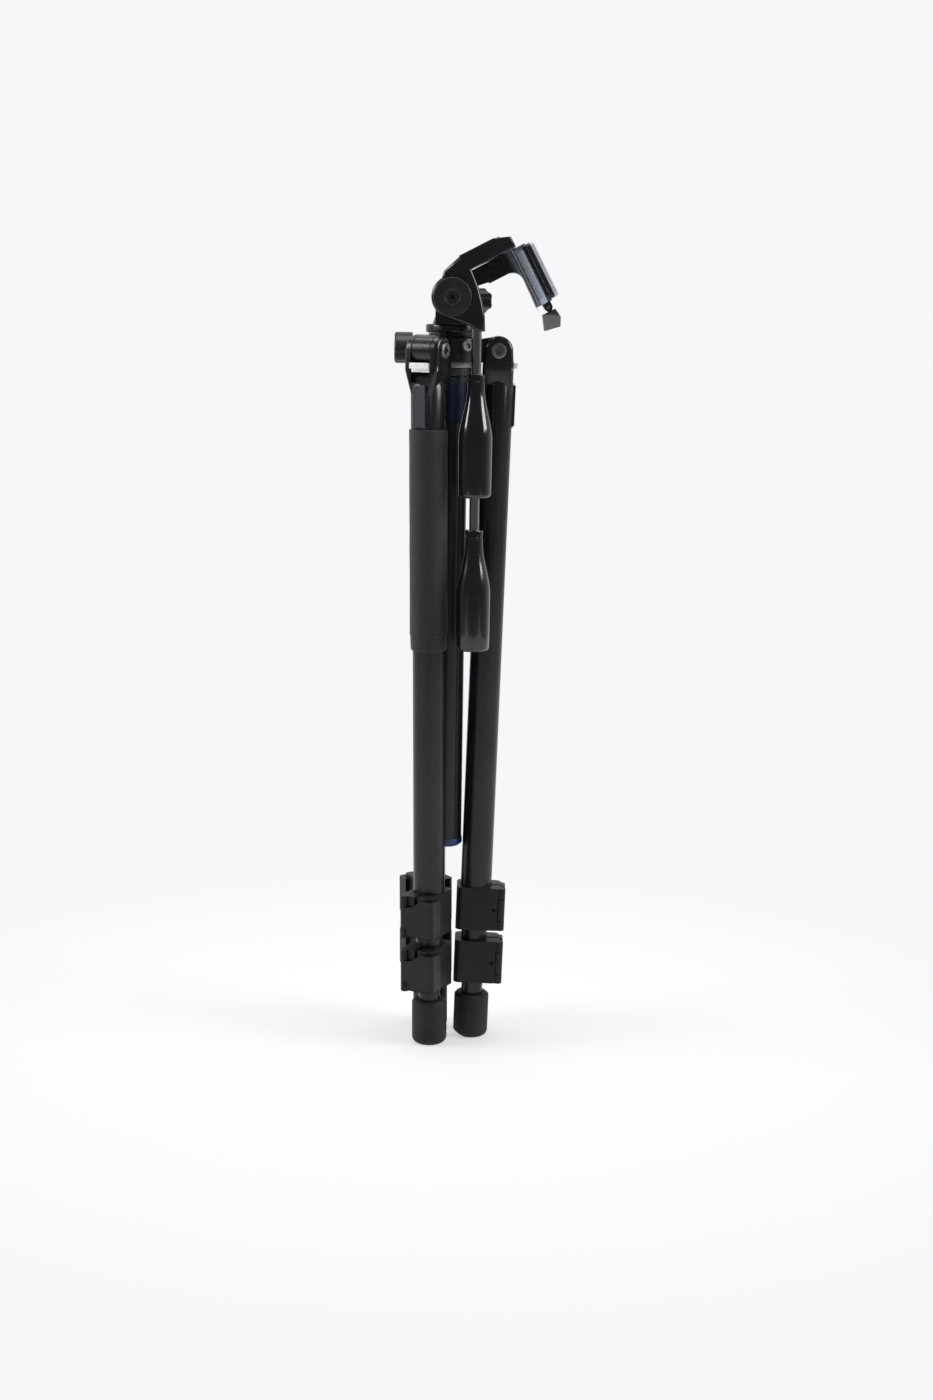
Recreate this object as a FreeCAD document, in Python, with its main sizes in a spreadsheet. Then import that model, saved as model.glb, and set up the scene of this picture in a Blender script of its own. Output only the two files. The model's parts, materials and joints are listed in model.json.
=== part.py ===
# Camera tripod, folded: three telescoping legs with lever clamps, a sliding centre column
# and a three-way head that is tipped over beside the column with its handles hanging down.
# Frame: origin on the floor under the column, +Z up, +X towards leg b, +Y to the back.

import FreeCAD
import Part
import Sketcher
import math
import os

Vector = FreeCAD.Vector
Rotation = FreeCAD.Rotation
Placement = FreeCAD.Placement

doc = FreeCAD.newDocument("CameraTripod")
sheet = doc.addObject("Spreadsheet::Sheet", "Sizes")
pieces = []


# A size is a number together with the sheet formula that it comes from
class Size:
    def __init__(self, value, text):
        self.value = value
        self.text = text

    def __add__(self, other):
        other = asSize(other)
        return Size(self.value + other.value, f"({self.text} + {other.text})")

    def __radd__(self, other):
        return asSize(other) + self

    def __sub__(self, other):
        other = asSize(other)
        return Size(self.value - other.value, f"({self.text} - {other.text})")

    def __rsub__(self, other):
        return asSize(other) - self

    def __mul__(self, other):
        other = asSize(other)
        return Size(self.value * other.value, f"({self.text} * {other.text})")

    def __rmul__(self, other):
        return asSize(other) * self

    def __truediv__(self, other):
        other = asSize(other)
        return Size(self.value / other.value, f"({self.text} / {other.text})")

    def __neg__(self):
        return Size(-self.value, f"(0 - {self.text})")


def asSize(number):
    if isinstance(number, Size):
        return number
    return Size(float(number), f"({float(number)})")


def sine(angle):
    return Size(math.sin(math.radians(angle.value)), f"sin({angle.text})")


def cosine(angle):
    return Size(math.cos(math.radians(angle.value)), f"cos({angle.text})")


def root(size):
    return Size(math.sqrt(size.value), f"sqrt({size.text})")


# One driving dimension: its own row of the sheet, millimetres or degrees
def size(alias, value):
    row = len(driving) + 1
    sheet.set(f"A{row}", alias)
    sheet.set(f"B{row}", str(value))
    sheet.setAlias(f"B{row}", alias)
    driving.append(alias)
    return Size(float(value), f"Sizes.{alias}")


driving = []


# Driving dimensions: stance
pivotRadius = size("pivotRadius", 35.9)
pivotHeight = size("pivotHeight", 554)
legLean = size("legLean", 1.44)
runningGap = size("runningGap", 0.06)
easyGap = size("easyGap", 0.35)

# Leg tubes: outer radius, wall, and how far the ends lie below the leg pivot
upperTubeRadius = size("upperTubeRadius", 12.5)
tubeWall = size("tubeWall", 1.2)
midTubeRadius = size("midTubeRadius", 10.4)
lowerTubeRadius = size("lowerTubeRadius", 8.6)
upperTubeTop = size("upperTubeTop", 26)
midTubeTop = size("midTubeTop", 78)
lowerTubeTop = size("lowerTubeTop", 92)
guideRingHeight = size("guideRingHeight", 18)
upperLockRise = size("upperLockRise", 126.9)
lowerLockRise = size("lowerLockRise", 82.4)
lockHeight = size("lockHeight", 35)

# Lock collar and lever in plan, from the leg's axis
collarInner = size("collarInner", 15.5)
collarOuter = size("collarOuter", 20.4)
collarHalfWidth = size("collarHalfWidth", 13.8)
collarCorner = size("collarCorner", 5)
leverPlate = size("leverPlate", 3)
leverWrap = size("leverWrap", 13)
leverLow = size("leverLow", 3.2)
knuckleLow = size("knuckleLow", 8)
knuckleHigh = size("knuckleHigh", 26)
knuckleRadius = size("knuckleRadius", 3.4)
lockPinRadius = size("lockPinRadius", 1.3)

# Foot
footRadius = size("footRadius", 14)
footHeight = size("footHeight", 36)
footRound = size("footRound", 5)
footCup = size("footCup", 22)
soleAngle = size("soleAngle", 24)
soleFlat = size("soleFlat", 4)

# Foam grip on leg a
foamRadius = size("foamRadius", 14.8)
foamTop = size("foamTop", 59.3)
foamLength = size("foamLength", 183)
foamRound = size("foamRound", 2.2)

# Leg casting and its angle latch
cheekHalfWidth = size("cheekHalfWidth", 14.5)
lugHalfWidth = size("lugHalfWidth", 8)
castingRound = size("castingRound", 11)
castingLength = size("castingLength", 59)
castingWall = size("castingWall", 0.9)
pivotBoltRadius = size("pivotBoltRadius", 4)
boltHeadRadius = size("boltHeadRadius", 6)
boltHeadThick = size("boltHeadThick", 1.6)
latchHalfWidth = size("latchHalfWidth", 7.9)
latchTop = size("latchTop", 9)
latchTab = size("latchTab", 4.2)
latchThick = size("latchThick", 2.6)
latchProud = size("latchProud", 3)
latchTravel = size("latchTravel", 7)
padLow = size("padLow", 57.5)
padHigh = size("padHigh", 26)
padProud = size("padProud", 1)

# Shoulder
shoulderRise = size("shoulderRise", 10.5)
shoulderDrop = size("shoulderDrop", 9)
hubRadius = size("hubRadius", 21.5)
lugRadius = size("lugRadius", 11)
bushingRadius = size("bushingRadius", 15.5)
bushingRim = size("bushingRim", 18)
bushingLength = size("bushingLength", 45)
keyScrewRise = size("keyScrewRise", 3.5)

# Column
columnRadius = size("columnRadius", 12.5)
columnWall = size("columnWall", 1.4)
columnDrop = size("columnDrop", 387)
endCapRadius = size("endCapRadius", 13)
endCapHeight = size("endCapHeight", 6.5)
keyWidth = size("keyWidth", 3)
keyDepth = size("keyDepth", 0.9)
headPlateRadius = size("headPlateRadius", 18.5)
headPlateThick = size("headPlateThick", 1.8)
headStudRadius = size("headStudRadius", 4.76)
headStudLength = size("headStudLength", 12)

# Column clamp knob
clampKnobStart = size("clampKnobStart", 30.6)
clampKnobEnd = size("clampKnobEnd", 44.5)
clampKnobRadius = size("clampKnobRadius", 13)
clampKnobLobe = size("clampKnobLobe", 4.4)
clampScrewRadius = size("clampScrewRadius", 3)

# Pan base and yoke
tiltRise = size("tiltRise", 40)
panFlangeRadius = size("panFlangeRadius", 20.6)
panFlangeThick = size("panFlangeThick", 6.5)
panNeckRadius = size("panNeckRadius", 15.5)
yokeRadius = size("yokeRadius", 13)
yokeFront = size("yokeFront", 21.5)
yokeBack = size("yokeBack", 17)
tiltAxleRadius = size("tiltAxleRadius", 3.5)
panKnobRadius = size("panKnobRadius", 9.7)
panKnobStart = size("panKnobStart", 21.4)
panKnobLength = size("panKnobLength", 12.2)
panKnobDrop = size("panKnobDrop", 2.5)
panKnobTurn = size("panKnobTurn", 42)

# Tilt body, in its in-use attitude about the tilt axis
tiltFold = size("tiltFold", 62.5)
plateFront = size("plateFront", 39)
plateBack = size("plateBack", 22)
tiltDrumRadius = size("tiltDrumRadius", 16)
armFront = size("armFront", 24.8)
armThick = size("armThick", 13)
armTop = size("armTop", 59)
sideAxisHeight = size("sideAxisHeight", 46)
sideDiscRadius = size("sideDiscRadius", 12.5)
armUnderside = size("armUnderside", 22)
armNose = size("armNose", 9)
hubCapRadius = size("hubCapRadius", 14.5)
hubCapThick = size("hubCapThick", 3)

# Bracket, camera platform and plate
bracketLow = size("bracketLow", 29.2)
bracketDepth = size("bracketDepth", 15)
bracketHalfWidth = size("bracketHalfWidth", 12)
platformFront = size("platformFront", 11.3)
platformRear = size("platformRear", 36)
platformHalfWidth = size("platformHalfWidth", 24)
platformLow = size("platformLow", 54.5)
platformTop = size("platformTop", 66.5)
cameraPlateTop = size("cameraPlateTop", 73)
sideBoltRadius = size("sideBoltRadius", 3)
sideSocketRadius = size("sideSocketRadius", 3)
sideSocketDepth = size("sideSocketDepth", 14)
cameraScrewRadius = size("cameraScrewRadius", 3.175)
leverBlock = size("leverBlock", 16)

# Handles: rods and grips on one line
handleAcross = size("handleAcross", 18.5)
handleForward = size("handleForward", 32.5)
handleSplay = size("handleSplay", 0.15)
rodRadius = size("rodRadius", 3.9)
gripNeckRadius = size("gripNeckRadius", 7)
gripRadius = size("gripRadius", 13.2)
gripLength = size("gripLength", 94)
gripStart = size("gripStart", 57)
rodShow = size("rodShow", 31.5)
secondRodShow = size("secondRodShow", 24.6)
rodThread = size("rodThread", 12)

# Smaller sizes of the locks, feet and castings
tubeSeat = size("tubeSeat", 12)
splitHalf = size("splitHalf", 1.1)
lockScrewRadius = size("lockScrewRadius", 1.5)
screwInset = size("screwInset", 1)
leverHigh = size("leverHigh", 32.5)
leverBend = size("leverBend", 3.4)
waveRadius = size("waveRadius", 12)
waveEnd = size("waveEnd", 9)
soleTrim = size("soleTrim", 0.4)
castingTaper = size("castingTaper", 15)
castingBlend = size("castingBlend", 3)
lugSlot = size("lugSlot", 18)
latchInner = size("latchInner", 9.2)
latchLow = size("latchLow", 16)
thumbHalfWidth = size("thumbHalfWidth", 5.5)

# Smaller sizes of the shoulder, its bushing and the column
hubChamfer = size("hubChamfer", 2)
clampBossRadius = size("clampBossRadius", 8.5)
clampBossReach = size("clampBossReach", 29.5)
guideScrewRadius = size("guideScrewRadius", 2.5)
guideHeadRadius = size("guideHeadRadius", 4.2)
guideHeadThick = size("guideHeadThick", 3)
bushingRimHeight = size("bushingRimHeight", 4.5)
bushingTip = size("bushingTip", 1.7)
ribBand = size("ribBand", 5.8)
bandStep = size("bandStep", 1.1)
bandGroove = size("bandGroove", 0.8)
plugLength = size("plugLength", 14)

# Smaller sizes of the head and the handles
panNeckHeight = size("panNeckHeight", 12.5)
panBossRadius = size("panBossRadius", 6)
panScrewRadius = size("panScrewRadius", 2)
panScrewTip = size("panScrewTip", 12)
lobeReach = size("lobeReach", 34)
lobeDrop = size("lobeDrop", 3)
plateRound = size("plateRound", 2.5)
sideHeadRadius = size("sideHeadRadius", 6)
sideHeadDepth = size("sideHeadDepth", 3.5)
axleNutThick = size("axleNutThick", 4)
capRecess = size("capRecess", 2)
throatRadius = size("throatRadius", 9.5)
knuckleDrop = size("knuckleDrop", 17.5)
knuckleHalf = size("knuckleHalf", 7)
platformCorner = size("platformCorner", 5)
screwCentre = size("screwCentre", 15)
screwWell = size("screwWell", 8.5)
screwTravel = size("screwTravel", 5.5)
screwHeadThick = size("screwHeadThick", 2.4)
socketHeight = size("socketHeight", 37)
leverAxisAt = size("leverAxisAt", 39.6)
leverAxisHeight = size("leverAxisHeight", 62)
leverBarrel = size("leverBarrel", 3.2)
leverPinRadius = size("leverPinRadius", 1.3)
earInner = size("earInner", 7)
earOuter = size("earOuter", 11)
neckLength = size("neckLength", 10)
shoulderLength = size("shoulderLength", 40)
gripSweep = size("gripSweep", 170)
socketDepth = size("socketDepth", 12)

# Derived places on the legs
windowLow = latchLow + latchTravel + 1
forkLow = upperTubeTop + castingBlend + 4
sleeveRadius = upperTubeRadius + castingWall
thumbFace = sleeveRadius + padProud
upperLockTop = pivotHeight - upperLockRise
lowerLockTop = pivotHeight - lowerLockRise
upperTubeBottom = upperLockTop + lockHeight - tubeSeat
midTubeBottom = lowerLockTop + lockHeight - tubeSeat
lowerTubeBottom = pivotHeight - footHeight + footCup
pinAcross = collarOuter + easyGap + leverPlate - knuckleRadius
pinAside = collarHalfWidth - knuckleRadius
screwAcross = pinAcross - knuckleRadius - easyGap * 2 - lockScrewRadius
waveMiddle = (waveEnd - pinAside + knuckleRadius + easyGap) / 2

# Derived heights of the shoulder, the column and the head
shoulderTop = pivotHeight + shoulderRise
shoulderLow = pivotHeight - shoulderDrop
bushingLow = shoulderLow - bushingLength
keyScrewHeight = pivotHeight + keyScrewRise
columnLow = pivotHeight - columnDrop
tiltHeight = pivotHeight + tiltRise
panKnobHeight = tiltHeight - panKnobDrop
columnTop = shoulderTop + easyGap
headPlateTop = columnTop + headPlateThick
socketStart = gripStart - rodShow - socketDepth - easyGap
socketRadius = rodRadius + runningGap


# Places

def degrees(axis, angle):
    return Rotation(Vector(*axis), angle)


upTurn = (0, 0, 1)
sideTurn = (0, 1, 0)
legNames = ("a", "b", "c")
legAzimuths = {"a": 240, "b": 0, "c": 120}


# Leg frame: origin at the leg's pivot, +X outward, +Z up along the leaning leg
def legPlace(leg):
    azimuth = degrees(upTurn, legAzimuths[leg])
    pivot = azimuth.multVec(Vector(pivotRadius.value, 0, pivotHeight.value))
    return Placement(pivot, azimuth * degrees(sideTurn, legLean.value))


def down(place, distance):
    return place * Placement(Vector(0, 0, -distance.value), Rotation())


# Head frame: origin on the tilt axis, the attitude that the folded head has
headPlace = Placement(Vector(0, 0, tiltHeight.value), degrees(sideTurn, tiltFold.value))


# Handle frame: origin beside the tilt axis, +Z down along the two handles
handlePlace = Placement(Vector(handleAcross.value, -handleForward.value, tiltHeight.value),
                        degrees(sideTurn, 180 - handleSplay.value))


# Bodies and sketches

def originPlane(body, role):
    for feature in body.Origin.OriginFeatures:
        if feature.Role == role:
            return feature
    raise ValueError(role)


def newBody(label, placement=None):
    body = doc.addObject("PartDesign::Body", label)
    body.Label = label
    body.Placement = placement or Placement()
    pieces.append(body)
    return body


# Sketch of one closed outline on an origin plane of the body, moved along the plane's normal.
# Each corner is (u, v) or (u, v, side, radius): the last two bend the edge that leaves the corner
# into an arc that bulges to the left or the right of its direction.
def outline(body, role, corners, offset=0):
    sketch = emptySketch(body, role, offset)
    addLoop(sketch, corners)
    return sketch


def emptySketch(body, role, offset=0):
    sketch = body.newObject("Sketcher::SketchObject", body.Label + "_sketch")
    sketch.AttachmentSupport = [(originPlane(body, role), "")]
    sketch.MapMode = "FlatFace"
    sketch.setExpression("AttachmentOffset.Base.z", asSize(offset).text)
    return sketch


def addLoop(sketch, corners):
    first = sketch.GeometryCount
    count = len(corners)
    edges = []
    starts = []
    for index, corner in enumerate(corners):
        following = corners[(index + 1) % count]
        begin = Vector(asSize(corner[0]).value, asSize(corner[1]).value, 0)
        end = Vector(asSize(following[0]).value, asSize(following[1]).value, 0)
        if len(corner) == 2:
            edges.append(Part.LineSegment(begin, end))
            starts.append(1)
        else:
            edges.append(arcBetween(begin, end, corner[2], asSize(corner[3]).value))
            starts.append(1 if corner[2] == "right" else 2)
    sketch.addGeometry(edges, False)
    rules = []
    for index in range(count):
        following = (index + 1) % count
        rules.append(Sketcher.Constraint("Coincident", first + index, 3 - starts[index],
                                         first + following, starts[following]))
    sketch.addConstraint(rules)
    for index, corner in enumerate(corners):
        bindRule(sketch, "DistanceX", first + index, starts[index], corner[0])
        bindRule(sketch, "DistanceY", first + index, starts[index], corner[1])
        if len(corner) > 2:
            bindRadius(sketch, first + index, corner[3])


def bindRule(sketch, kind, edge, end, length):
    length = asSize(length)
    rule = sketch.addConstraint(Sketcher.Constraint(kind, edge, end, length.value))
    sketch.setExpression(f"Constraints[{rule}]", length.text)


def bindRadius(sketch, edge, radius):
    radius = asSize(radius)
    rule = sketch.addConstraint(Sketcher.Constraint("Radius", edge, radius.value))
    sketch.setExpression(f"Constraints[{rule}]", radius.text)


def addCircle(sketch, u, v, radius):
    centre = Vector(asSize(u).value, asSize(v).value, 0)
    edge = sketch.addGeometry(Part.Circle(centre, Vector(0, 0, 1), asSize(radius).value), False)
    bindRule(sketch, "DistanceX", edge, 3, u)
    bindRule(sketch, "DistanceY", edge, 3, v)
    bindRadius(sketch, edge, radius)


def arcBetween(begin, end, side, radius):
    chord = end - begin
    middle = (begin + end) * 0.5
    toLeft = Vector(-chord.y, chord.x, 0).normalize()
    drop = math.sqrt(max(radius ** 2 - (chord.Length / 2) ** 2, 0))
    sign = 1 if side == "right" else -1
    centre = middle + toLeft * drop * sign
    circle = Part.Circle(centre, Vector(0, 0, 1), radius)
    towardsBegin = math.atan2(begin.y - centre.y, begin.x - centre.x)
    towardsEnd = math.atan2(end.y - centre.y, end.x - centre.x)
    if side == "right":
        return Part.ArcOfCircle(circle, towardsBegin, towardsEnd)
    return Part.ArcOfCircle(circle, towardsEnd, towardsBegin)


# Corners of a rectangle with rounded corners, run counter-clockwise
def roundedRectangle(left, right, low, high, radius):
    return [
        (left + radius, low), (right - radius, low, "right", radius),
        (right, low + radius), (right, high - radius, "right", radius),
        (right - radius, high), (left + radius, high, "right", radius),
        (left, high - radius), (left, low + radius, "right", radius),
    ]


def circleSketch(body, role, u, v, radius, offset=0):
    sketch = emptySketch(body, role, offset)
    addCircle(sketch, u, v, radius)
    return sketch


# Features: each is added to the body's tip. A plane's normal is +Z for XY, -Y for XZ and +X for YZ.

def sweepFeature(body, kind, sketch, length, back):
    feature = body.newObject("PartDesign::" + kind, body.Label + "_" + kind.lower())
    feature.Profile = sketch
    feature.Type = 0
    feature.Reversed = back
    feature.setExpression("Length", asSize(length).text)
    sketch.Visibility = False
    return feature


def pad(body, sketch, length, back=False):
    return sweepFeature(body, "Pad", sketch, length, back)


# A pocket cuts along the plane's normal when forward is True
def pocket(body, sketch, length, forward=True):
    return sweepFeature(body, "Pocket", sketch, length, forward)


def turn(body, sketch, kind="Revolution", axis="V_Axis", angle=360):
    feature = body.newObject("PartDesign::" + kind, body.Label + "_" + kind.lower())
    feature.Profile = sketch
    feature.ReferenceAxis = (sketch, [axis])
    feature.setExpression("Angle", asSize(angle).text)
    sketch.Visibility = False
    return feature


def turned(label, placement, corners, axis="V_Axis", role="XZ_Plane"):
    body = newBody(label, placement)
    turn(body, outline(body, role, corners), axis=axis)
    return body


# Copies of a feature about an axis of the body's own origin
def around(body, feature, role, count):
    pattern = body.newObject("PartDesign::PolarPattern", body.Label + "_pattern")
    pattern.Originals = [feature]
    pattern.Axis = (originPlane(body, role), [""])
    pattern.Angle = 360
    pattern.Occurrences = count
    body.Tip = pattern
    return pattern


# Edges of the tip whose middle point passes a test
def pickEdges(body, wanted):
    doc.recompute()
    shape = body.Tip.Shape
    names = []
    for index, edge in enumerate(shape.Edges):
        centre = edge.valueAt((edge.FirstParameter + edge.LastParameter) / 2)
        if wanted(edge, centre):
            names.append(f"Edge{index + 1}")
    return names


def blendEdges(body, kind, wanted, amount):
    base = body.Tip
    names = pickEdges(body, wanted)
    feature = body.newObject("PartDesign::" + kind, body.Label + "_" + kind.lower())
    feature.Base = (base, names)
    feature.setExpression("Radius" if kind == "Fillet" else "Size", asSize(amount).text)
    return feature


# Solids from primitives, for pins, screws and groups of them

def rod(name, place, radius, length):
    solid = doc.addObject("Part::Cylinder", name)
    solid.setExpression("Radius", asSize(radius).text)
    solid.setExpression("Height", asSize(length).text)
    solid.Placement = place
    return solid


def hexRod(name, place, radius, length):
    solid = doc.addObject("Part::Prism", name)
    solid.Polygon = 6
    solid.setExpression("Circumradius", asSize(radius).text)
    solid.setExpression("Height", asSize(length).text)
    solid.Placement = place
    return solid


def fused(name, solids):
    result = doc.addObject("Part::MultiFuse", name)
    result.Shapes = solids
    return result


def without(name, base, tool):
    result = doc.addObject("Part::Cut", name)
    result.Base = base
    result.Tool = tool
    return result


def kept(result, label):
    result.Label = label
    pieces.append(result)
    return result


def grouped(label, solids):
    result = doc.addObject("Part::Compound", label)
    result.Links = solids
    return kept(result, label)


def shifted(place, x=0, y=0, z=0, turnAxis=None, angle=0):
    move = Vector(asSize(x).value, asSize(y).value, asSize(z).value)
    spin = degrees(turnAxis, asSize(angle).value) if turnAxis else Rotation()
    return place * Placement(move, spin)


# Screw along +Z of its place: shank, cylinder head and a hexagon socket in the head
def socketScrew(name, place, shank, length, headRadius, headThick, socket):
    body = rod(name + "_shank", place, shank, length)
    head = rod(name + "_head", shifted(place, z=length), headRadius, headThick)
    whole = fused(name + "_whole", [body, head])
    depth = headThick * 0.7
    recess = hexRod(name + "_socket", shifted(place, z=length + headThick - depth), socket, headThick)
    return without(name, whole, recess)


# Legs

# Tube with a guide ring at its top that runs in the next tube up
def legTube(label, place, radius, top, bottom, ringRadius=None):
    inner = radius - tubeWall
    corners = [(inner, -bottom), (radius, -bottom)]
    if ringRadius:
        corners += [(radius, -top - guideRingHeight), (ringRadius, -top - guideRingHeight),
                    (ringRadius, -top)]
    else:
        corners.append((radius, -top))
    corners.append((inner, -top))
    return turned(label, place, corners)


# Moulded collar: rounded block with a stepped bore, a clamp split and two hinge ears.
# The collar's frame has its origin on the leg's axis at the collar's lower face.
def lockCollar(label, place, outerTube, innerTube):
    body = newBody(label, place)
    plan = roundedRectangle(-collarInner, collarOuter, -collarHalfWidth, collarHalfWidth, collarCorner)
    pad(body, outline(body, "XY_Plane", plan), lockHeight)
    pad(body, circleSketch(body, "XY_Plane", pinAcross, -pinAside, knuckleRadius), lockHeight)
    pocket(body, circleSketch(body, "XY_Plane", 0, 0, innerTube + runningGap), lockHeight)
    pocket(body, circleSketch(body, "XY_Plane", 0, 0, outerTube, tubeSeat), lockHeight)
    room = circleSketch(body, "XY_Plane", pinAcross, -pinAside, knuckleRadius + easyGap, knuckleLow)
    pocket(body, room, knuckleHigh - knuckleLow)
    pocket(body, circleSketch(body, "XY_Plane", pinAcross, -pinAside, lockPinRadius), lockHeight)
    slit = [(innerTube, -splitHalf), (collarOuter + 1, -splitHalf),
            (collarOuter + 1, splitHalf), (innerTube, splitHalf)]
    pocket(body, outline(body, "XY_Plane", slit), lockHeight)
    bore = circleSketch(body, "XZ_Plane", screwAcross, lockHeight / 2, lockScrewRadius,
                        -collarHalfWidth - 1)
    pocket(body, bore, (collarHalfWidth + 1) * 2)
    return body


# Lever hinged on the ears' pin: it lies over the collar's face, hooks round its far side,
# and its top edge runs up in a wave from the hinge to the finger end
def lockLever(label, place):
    body = newBody(label, place)
    inside = collarOuter + easyGap
    outside = inside + leverPlate
    reach = collarHalfWidth + easyGap
    far = reach + leverPlate
    plan = [
        (inside, -pinAside), (outside, -pinAside), (outside, far - leverBend, "right", leverBend),
        (outside - leverBend, far), (outside - leverWrap, far), (outside - leverWrap, reach),
        (inside, reach),
    ]
    height = leverHigh - leverLow
    pad(body, outline(body, "XY_Plane", plan, leverLow), height)
    pad(body, circleSketch(body, "XY_Plane", pinAcross, -pinAside, knuckleRadius, leverLow), height)
    hingeEnd = -pinAside + knuckleRadius + easyGap
    side = collarHalfWidth * 2
    wave = [
        (-side, knuckleHigh - easyGap), (hingeEnd, knuckleHigh - easyGap, "right", waveRadius),
        (waveMiddle, (knuckleHigh + leverHigh) / 2, "left", waveRadius), (waveEnd, leverHigh),
        (side, leverHigh), (side, leverHigh + 2), (-side, leverHigh + 2),
    ]
    pocket(body, outline(body, "YZ_Plane", wave), outside * 2)
    foot = [(-side, leverLow - 1), (hingeEnd, leverLow - 1), (hingeEnd, knuckleLow + easyGap),
            (-side, knuckleLow + easyGap)]
    pocket(body, outline(body, "YZ_Plane", foot), outside * 2)
    pocket(body, circleSketch(body, "XY_Plane", pinAcross, -pinAside, lockPinRadius + runningGap),
           lockHeight)
    return body


# Hinge pin of the lever and the cross screw that draws the split together
def lockHardware(label, place):
    pin = rod(label + "_pin", shifted(place, pinAcross, -pinAside), lockPinRadius, lockHeight)
    start = shifted(place, screwAcross, collarHalfWidth - screwInset, lockHeight / 2, (1, 0, 0), 90)
    length = (collarHalfWidth - screwInset) * 2
    bar = rod(label + "_bar", start, lockScrewRadius, length)
    recess = hexRod(label + "_recess", shifted(start, z=length - 1.5), lockScrewRadius * 0.6, 3)
    return grouped(label, [pin, without(label + "_screw", bar, recess)])


# Rubber foot: cup on the lower tube, cut level at its outer side and slanted at its inner side
def rubberFoot(label, place):
    body = newBody(label, place)
    bottom = pivotHeight / cosine(legLean) + soleTrim
    top = pivotHeight - footHeight
    edge = footRadius - footRound
    corners = [
        (0, -bottom), (edge, -bottom, "right", footRound), (footRadius, -bottom + footRound),
        (footRadius, -top - 2), (footRadius - 2, -top), (lowerTubeRadius, -top),
        (lowerTubeRadius, -lowerTubeBottom), (0, -lowerTubeBottom),
    ]
    turn(body, outline(body, "XZ_Plane", corners))
    wide = footRadius + 2
    slant = (wide - soleFlat) * sine(soleAngle) / cosine(soleAngle)
    sole = [
        (-wide, soleAt(-soleFlat) + slant), (-wide, -bottom - 5), (wide, -bottom - 5),
        (wide, soleAt(wide)), (-soleFlat, soleAt(-soleFlat)),
    ]
    pocket(body, outline(body, "XZ_Plane", sole, -wide), wide * 2)
    return body


# Height in the leg's frame of the floor, at a distance outwards from the leg's axis
def soleAt(out):
    return (out * sine(legLean) - pivotHeight) / cosine(legLean)


# Fork that carries the upper tube: two cheeks about the shoulder's lug with a barrel top, on a
# round sleeve, with a window for the angle latch and a raised thumb pad below it
def legCasting(label, place):
    body = newBody(label, place)
    side = castingRound + 1
    profile = [
        (-side, -forkLow), (side, -forkLow), (side, -castingRound),
        (castingRound, 0, "right", castingRound), (0, castingRound, "right", castingRound),
        (-castingRound, 0), (-side, -castingRound),
    ]
    pad(body, outline(body, "XZ_Plane", profile, -cheekHalfWidth), cheekHalfWidth * 2)
    for hand in (1, -1):
        taper = [(upperTubeRadius * 0.72 * hand, -forkLow - 1), (cheekHalfWidth * hand, -castingTaper),
                 ((cheekHalfWidth + 3) * hand, -castingTaper),
                 ((cheekHalfWidth + 3) * hand, -forkLow - 1)]
        pocket(body, outline(body, "YZ_Plane", taper, -side - 2), (side + 2) * 2)
    blendEdges(body, "Fillet", isCastingCorner, castingBlend)
    sleeve = [
        (0, -castingLength), (sleeveRadius, -castingLength), (sleeveRadius, -upperTubeTop - 1),
        (castingRound, -lugSlot - 2), (0, -lugSlot - 2),
    ]
    turn(body, outline(body, "XZ_Plane", sleeve))
    thumb = [(-thumbHalfWidth, -padLow), (thumbHalfWidth, -padLow), (thumbHalfWidth, -padHigh),
             (-thumbHalfWidth, -padHigh)]
    pad(body, outline(body, "YZ_Plane", thumb, upperTubeRadius / 2), thumbFace - upperTubeRadius / 2)
    blendEdges(body, "Fillet", isThumbEdge, padProud * 0.6)
    lug = [(-lugHalfWidth - easyGap, -lugSlot), (lugHalfWidth + easyGap, -lugSlot),
           (lugHalfWidth + easyGap, castingRound + 2), (-lugHalfWidth - easyGap, castingRound + 2)]
    pocket(body, outline(body, "YZ_Plane", lug, -side - 2), (side + 2) * 2)
    pocket(body, circleSketch(body, "XY_Plane", 0, 0, upperTubeRadius, -castingLength - 1),
           castingLength + 1 - upperTubeTop)
    pocket(body, circleSketch(body, "XZ_Plane", 0, 0, pivotBoltRadius + runningGap,
                              -cheekHalfWidth - 1), (cheekHalfWidth + 1) * 2)
    room = latchHalfWidth + easyGap
    window = [(latchInner - easyGap, -windowLow), (side + 3, -windowLow), (side + 3, -latchTop + easyGap),
              (latchInner - easyGap, -latchTop + easyGap)]
    pocket(body, outline(body, "XZ_Plane", window, -room), room * 2)
    return body


# Long straight edges of the fork's block
def isCastingCorner(edge, at):
    ends = [vertex.Point for vertex in edge.Vertexes]
    return len(ends) == 2 and abs(ends[0].z - ends[1].z) > 3 and edge.Curve.TypeId == "Part::GeomLine"


# Edges of the thumb pad's outer face
def isThumbEdge(edge, at):
    return all(abs(vertex.X - thumbFace.value) < 0.01 for vertex in edge.Vertexes)


# Steel angle latch: a blade behind the window with a thumb tab that stands out of it
def angleLatch(label, place):
    body = newBody(label, place)
    face = castingRound + 1 + latchProud
    corners = [
        (latchInner, -latchLow), (latchInner + latchThick, -latchLow),
        (latchInner + latchThick, -latchTop - latchTab), (face, -latchTop - latchTab),
        (face, -latchTop), (latchInner, -latchTop),
    ]
    pad(body, outline(body, "XZ_Plane", corners, -latchHalfWidth), latchHalfWidth * 2)
    return body


# Foam sleeve on one leg, with rounded ends
def foamGrip(label, place):
    bottom = foamTop + foamLength
    inner = upperTubeRadius
    corners = [
        (inner, -bottom), (foamRadius - foamRound, -bottom, "right", foamRound),
        (foamRadius, -bottom + foamRound), (foamRadius, -foamTop - foamRound, "right", foamRound),
        (foamRadius - foamRound, -foamTop), (inner, -foamTop),
    ]
    return turned(label, place, corners)


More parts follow.
